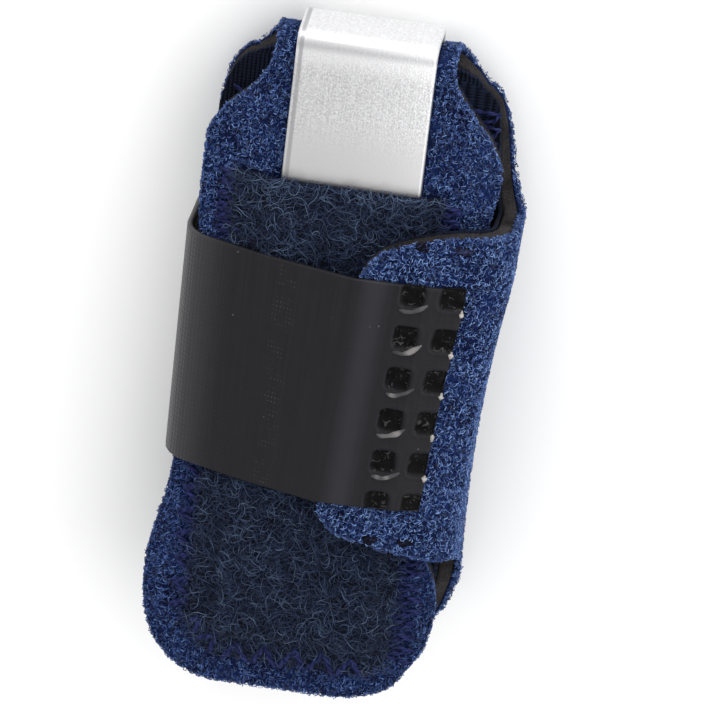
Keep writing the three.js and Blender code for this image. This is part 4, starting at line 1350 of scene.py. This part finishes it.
# %% Sew the rear patch, with its loops on the lining
def under_rear(x, along):
    """Depth of the sewn surface below the rear panel's face."""
    first, last = REAR_PATCH[0, 0], REAR_PATCH[-1, 0]
    inside = np.clip((REAR_PATCH[-1, 1] - np.abs(x)) / 0.8, 0, 1) * (along > first) * (along < last)
    lift = SEAT_GAP + POCKET_THICK + patch_lift(x, np.clip(along, first, last), REAR_PATCH)
    return 0.12 + inside * lift


def on_lining(x, along, off):
    """A place inside the wrap, off the lining of the rear panel."""
    return on_wrap(x - REAR_LEFT_X, along, WALL + off)


def low_loops(x, along):
    """Height of the loops on the lining."""
    return 0.05


def high_loops(x, along):
    """Height of the loops that show in the notch."""
    return 0.1


REAR_RUNS = (
    ((-12.9, 7.5), (-12.9, -45.0), 2.6, 2.8, on_rear_patch, under_rear, 6),
    ((12.9, 6.0), (12.9, -45.0), 2.6, 2.8, on_rear_patch, under_rear, 6),
    ((-11.6, -46.4), (11.6, -46.4), 2.6, 2.7, on_rear_patch, under_rear, 6),
    ((-12.9, 6.5), (-12.9, -45.0), 2.6, 2.8, on_lining, low_loops, 6),
    ((11.2, 7.9), (12.3, 3.6), 2.2, 1.9, on_lining, high_loops),
    ((12.2, 3.4), (12.2, -45.0), 2.2, 2.8, on_lining, low_loops, 6),
)
sew("rear_stitches", [zigzag(*run) for run in REAR_RUNS], 0.22)

# %% [markdown]
# ## Floor, light and camera
# The splint lies on its back on a plain pale floor, as a small product is shown. An even white room gives
# most of the light, with a large soft lamp at the right and a low one beyond the tip to draw the strip's
# bend. The camera looks down from the tip's side with a long lens, so that the sides stay nearly parallel.

# %% Floor
bpy.ops.object.select_all(action="DESELECT")
bpy.ops.mesh.primitive_plane_add(size=4.0, location=(0, 0, -0.00005))
floor = bpy.context.active_object
floor.name = "pale_floor"
paper, tree, shader = new_finish("Pale floor", Roughness=0.9, Specular_IOR_Level=0.1)
place = node(tree, "ShaderNodeTexCoord").outputs["Object"]
mottle = noise(tree, place, Scale=6.0, Detail=3.0)
feed(tree, shader, Base_Color=mixed(tree, mottle, (0.95, 0.95, 0.95, 1), (0.98, 0.98, 0.98, 1)))
floor.data.materials.append(paper)
print("floor finish", paper.name)

# %% Lights
world = bpy.data.worlds.new("Soft room")
bpy.context.scene.world = world
world.use_nodes = True
world.node_tree.nodes["Background"].inputs["Color"].default_value = (1.0, 1.0, 1.0, 1)
world.node_tree.nodes["Background"].inputs["Strength"].default_value = 0.93


def soft_lamp(name, location, size, power):
    """A square lamp that looks at the splint."""
    data = bpy.data.lights.new(name, "AREA")
    data.size, data.energy = size, power
    lamp = bpy.data.objects.new(name, data)
    bpy.context.scene.collection.objects.link(lamp)
    lamp.location = location
    lamp.rotation_euler = (Vector((0, 0, 0.01)) - Vector(location)).to_track_quat("-Z", "Y").to_euler()
    return lamp


key = soft_lamp("key_lamp", (0.5, 0.2, 0.55), size=0.9, power=3.2)
tip = soft_lamp("tip_lamp", (-0.05, 0.8, 0.2), size=0.4, power=2.6)
bpy.context.scene.view_settings.view_transform = "Standard"
print("lamps", key.name, tip.name)

# %% Camera
VIEW_TILT, VIEW_SIDE, VIEW_ROLL = math.radians(26), math.radians(4), math.radians(8.2)
CAMERA_AWAY, SHIFT_RIGHT, SHIFT_DOWN = 0.9, 0.0027, 0.0011
ahead = math.cos(VIEW_SIDE)
back = Vector((math.sin(VIEW_SIDE), math.sin(VIEW_TILT) * ahead, math.cos(VIEW_TILT) * ahead))
rise = Vector((0, math.cos(VIEW_TILT), -math.sin(VIEW_TILT)))
rise = (rise - back * rise.dot(back)).normalized()
right = rise.cross(back)
image_right = right * math.cos(VIEW_ROLL) + rise * math.sin(VIEW_ROLL)
image_up = rise * math.cos(VIEW_ROLL) - right * math.sin(VIEW_ROLL)
target = Vector(to_frame((0, -20, 12)))
eye = target + back * CAMERA_AWAY + image_right * SHIFT_RIGHT - image_up * SHIFT_DOWN
camera_data = bpy.data.cameras.new("photo_camera")
camera_data.lens, camera_data.sensor_width = 420.75, 36.0
camera_data.clip_start, camera_data.clip_end = 0.01, 20
camera = bpy.data.objects.new("photo_camera", camera_data)
bpy.context.scene.collection.objects.link(camera)
camera.matrix_world = Matrix((
    (image_right.x, image_up.x, back.x, eye.x),
    (image_right.y, image_up.y, back.y, eye.y),
    (image_right.z, image_up.z, back.z, eye.z),
    (0, 0, 0, 1),
))
bpy.context.scene.camera = camera
print("camera at", [round(v, 3) for v in eye])
